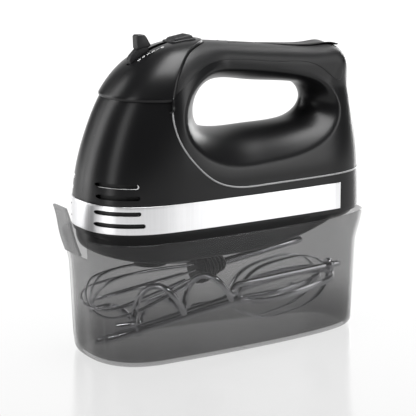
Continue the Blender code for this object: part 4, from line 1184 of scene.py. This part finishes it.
# %% Beaters
BEATERS = [((-90.0, -9.0, 12.5), (84.0, -12.0, 38.0)), ((-90.0, 5.0, 8.0), (88.0, 11.0, 34.0))]
BEATER_LOOP = 76.0
for index, (start, end) in enumerate(BEATERS, 1):
    body = "beater_near" if index == 1 else "beater_far"
    axis, side, up, length = frame_along(start, end)
    root = length - BEATER_LOOP
    profile = [(0, 0), (1.6, 0), (2.5, 1.6), (2.5, 22), (3.9, 22.6), (3.9, 25), (2.5, 25.6),
               (2.5, root - 4),
               (3.2, root - 3), (3.4, root + 2.0), (2.4, root + 3.2), (0, root + 3.2)]
    dress(turned(f"beater_{index}_stem", profile, bright, start, end), body, "bright_steel",
          f"beater_{index}_shaft")
    for letter, out, tip in (("a", side, BEATER_LOOP), ("b", up, BEATER_LOOP - 3.0)):
        outline = [(3.0, 0.5), (11, 6), (17.5, 18), (18.8, 36), (16.5, 56), (9.5, tip - 5), (0, tip)]
        full = bow(outline, 130)
        points = np.array(start) + axis * (root + full[:, 1:]) + out * full[:, :1]
        dress(rod(f"beater_{index}_blade_{letter}", points, 0.75, 2.3, bright, np.cross(axis, out), 16),
              body, "bright_steel", f"beater_{index}_loop_{letter}")

# %% [markdown]
# ## Dough hooks
#
# A hook is one round rod: a straight shank, then a corkscrew whose radius grows from
# nothing as it begins. Its cross direction is carried along step by step, since a
# helix has no plane to lie in.

# %% Hooks
HOOKS = [((83.0, -22.0, 46.0), (-92.0, -24.0, 36.0), 80, 105, 160.5, 10.5),
         ((80.0, 18.0, 20.0), (-84.0, 26.0, 14.5), 84, 110, 147, 9.3)]
HOOK_PITCH = 37.0
HOOK_R = 2.1


def hook_line(start, end, begins, crest, ends, radius):
    """Centre line: the axis plus an eased radius turned once per pitch."""
    axis, side, up, length = frame_along(start, end)
    dist = np.concatenate([[0, 20, 40, 60], np.linspace(begins, ends, 120), [length - 1.0]])
    turned_to = np.clip(dist, begins, ends)
    angle = (turned_to - crest) / HOOK_PITCH * 2 * math.pi
    reach = radius * ease((turned_to - begins) / 14.0)
    return (np.array(start) + axis * dist[:, None] + side * (reach * np.sin(angle))[:, None]
            + up * (reach * np.cos(angle))[:, None])


for index, (start, end, *shape) in enumerate(HOOKS, 1):
    body = "hook_near" if index == 1 else "hook_far"
    line = smooth_curve(hook_line(start, end, *shape), 260)
    dress(rod(f"dough_hook_rod_{index}", line, HOOK_R, HOOK_R, bright, carried_frame(line), 18), body,
          "bright_steel", f"dough_hook_{index}")
    collar = [(2.2, 7), (4.7, 7), (5.0, 7.4), (5.0, 9.6), (4.7, 10), (2.2, 10)]
    dress(turned(f"dough_hook_ring_{index}", collar, bright, start, end), body,
          "bright_steel", f"hook_{index}_collar")

# %% [markdown]
# ## The hidden works
#
# The motor, the worm, the wheels and the switch keep their solid-model shapes. Each
# gets the finish of its own slot.

# %% Finishes for the carried pieces
FINISH_OF_SLOT = {
    "black_plastic": body_black, "soft_grip": grip_black, "control_black": control_black,
    "brushed_steel": brushed, "bright_steel": bright, "case_plastic": smoke, "hub_plastic": hub_black,
    "copper": copper_wire, "lamination": laminated, "inner_plastic": natural, "gear_plastic": natural,
    "board_green": green, "carbon": coal,
}
slot_of = {entry["node"]: entry["material_slot"] for entry in frame["record"]["subparts"]}
carried = [obj for obj in frame["nodes"].values() if not obj.hide_render]
for obj in carried:
    obj.data.materials.clear()
    obj.data.materials.append(FINISH_OF_SLOT[slot_of[obj.name]])
print("carried over:", sorted(obj.name for obj in carried))

# %% [markdown]
# ## Table top and light
#
# A white glossy table holds a soft reflection that fades with height. The table glows
# a little more towards the mixer than towards the camera, so that the steel looks
# bright. The studio is dark but for a pale backdrop and a few soft boxes: the tall
# ones draw the upright streaks on the nose, and the one overhead lights the dome.


# %% Table top
TABLE_GLOW = 0.88
CAMERA_GLOW = 0.70


def table_top():
    """A glossy plane that glows white."""
    mesh = bpy.data.meshes.new("table_top")
    reach = 9.0
    corners = [(-reach, -reach, 0), (reach, -reach, 0), (reach, reach, 0), (-reach, reach, 0)]
    mesh.from_pydata(corners, [], [(0, 1, 2, 3)])
    mat = finish("white_table", (0.05, 0.05, 0.05), 0.13, 0.01, depth=0.0, slow=2.0, shade=0.0)
    nodes = mat.node_tree.nodes
    shader = nodes["Principled BSDF"]
    shader.inputs["Emission Color"].default_value = (1.0, 1.0, 1.0, 1.0)
    path = nodes.new("ShaderNodeLightPath")
    glow = nodes.new("ShaderNodeMath")
    glow.operation = "MULTIPLY_ADD"
    glow.inputs[1].default_value = CAMERA_GLOW - TABLE_GLOW
    glow.inputs[2].default_value = TABLE_GLOW
    mat.node_tree.links.new(path.outputs["Is Camera Ray"], glow.inputs[0])
    mat.node_tree.links.new(glow.outputs["Value"], shader.inputs["Emission Strength"])
    return link("table_top", mesh, mat)


table_top()


# %% Soft boxes
def soft_box(name, place, aim, width, height, power):
    """A rectangular light at a place in metres, turned towards a point."""
    data = bpy.data.lights.new(name, "AREA")
    data.shape = "RECTANGLE"
    data.size = width
    data.size_y = height
    data.energy = power
    obj = bpy.data.objects.new(name, data)
    bpy.context.scene.collection.objects.link(obj)
    obj.location = place
    obj.rotation_euler = (Vector(place) - Vector(aim)).to_track_quat("Z", "Y").to_euler()
    return obj


CENTRE = (0.0, 0.0, 0.12)
SOFT_BOXES = (
    ("left_strip", (-1.1, -0.15, 0.45), 0.30, 1.1, 4.0),
    ("left_back", (-0.7, 0.9, 0.5), 0.3, 1.0, 3.5),
    ("overhead", (0.1, -0.1, 1.3), 1.0, 0.7, 24.0),
    ("front_right", (0.9, -1.0, 0.6), 0.5, 1.0, 7.0),
    ("rear_right", (1.0, 0.5, 0.5), 0.25, 1.0, 7.0),
)
for name, place, width, height, power in SOFT_BOXES:
    soft_box(name, place, CENTRE, width, height, power)

# %% Backdrop
BACKDROP_WAY = (0.49, 0.85, 0.20)
BACKDROP_EDGE = 0.80         # cosines from the backdrop's middle, where it starts and is full
BACKDROP_FULL = 0.95
STUDIO_DIM = 0.05
world = bpy.data.worlds.new("studio")
bpy.context.scene.world = world
world.use_nodes = True
nodes = world.node_tree.nodes
links = world.node_tree.links
sky = nodes["Background"]
sky.inputs["Color"].default_value = (1.0, 1.0, 1.0, 1.0)
way = nodes.new("ShaderNodeTexCoord")
toward = nodes.new("ShaderNodeVectorMath")
toward.operation = "DOT_PRODUCT"
toward.inputs[1].default_value = BACKDROP_WAY
links.new(way.outputs["Generated"], toward.inputs[0])
screen = nodes.new("ShaderNodeMapRange")
screen.interpolation_type = "SMOOTHSTEP"
screen.inputs["From Min"].default_value = BACKDROP_EDGE
screen.inputs["From Max"].default_value = BACKDROP_FULL
screen.inputs["To Min"].default_value = STUDIO_DIM
screen.inputs["To Max"].default_value = 1.0
links.new(toward.outputs["Value"], screen.inputs["Value"])
path = nodes.new("ShaderNodeLightPath")
brighter = nodes.new("ShaderNodeMath")
brighter.operation = "MAXIMUM"
links.new(screen.outputs["Result"], brighter.inputs[0])
links.new(path.outputs["Is Camera Ray"], brighter.inputs[1])
links.new(brighter.outputs["Value"], sky.inputs["Strength"])
bpy.context.scene.view_settings.view_transform = "Standard"
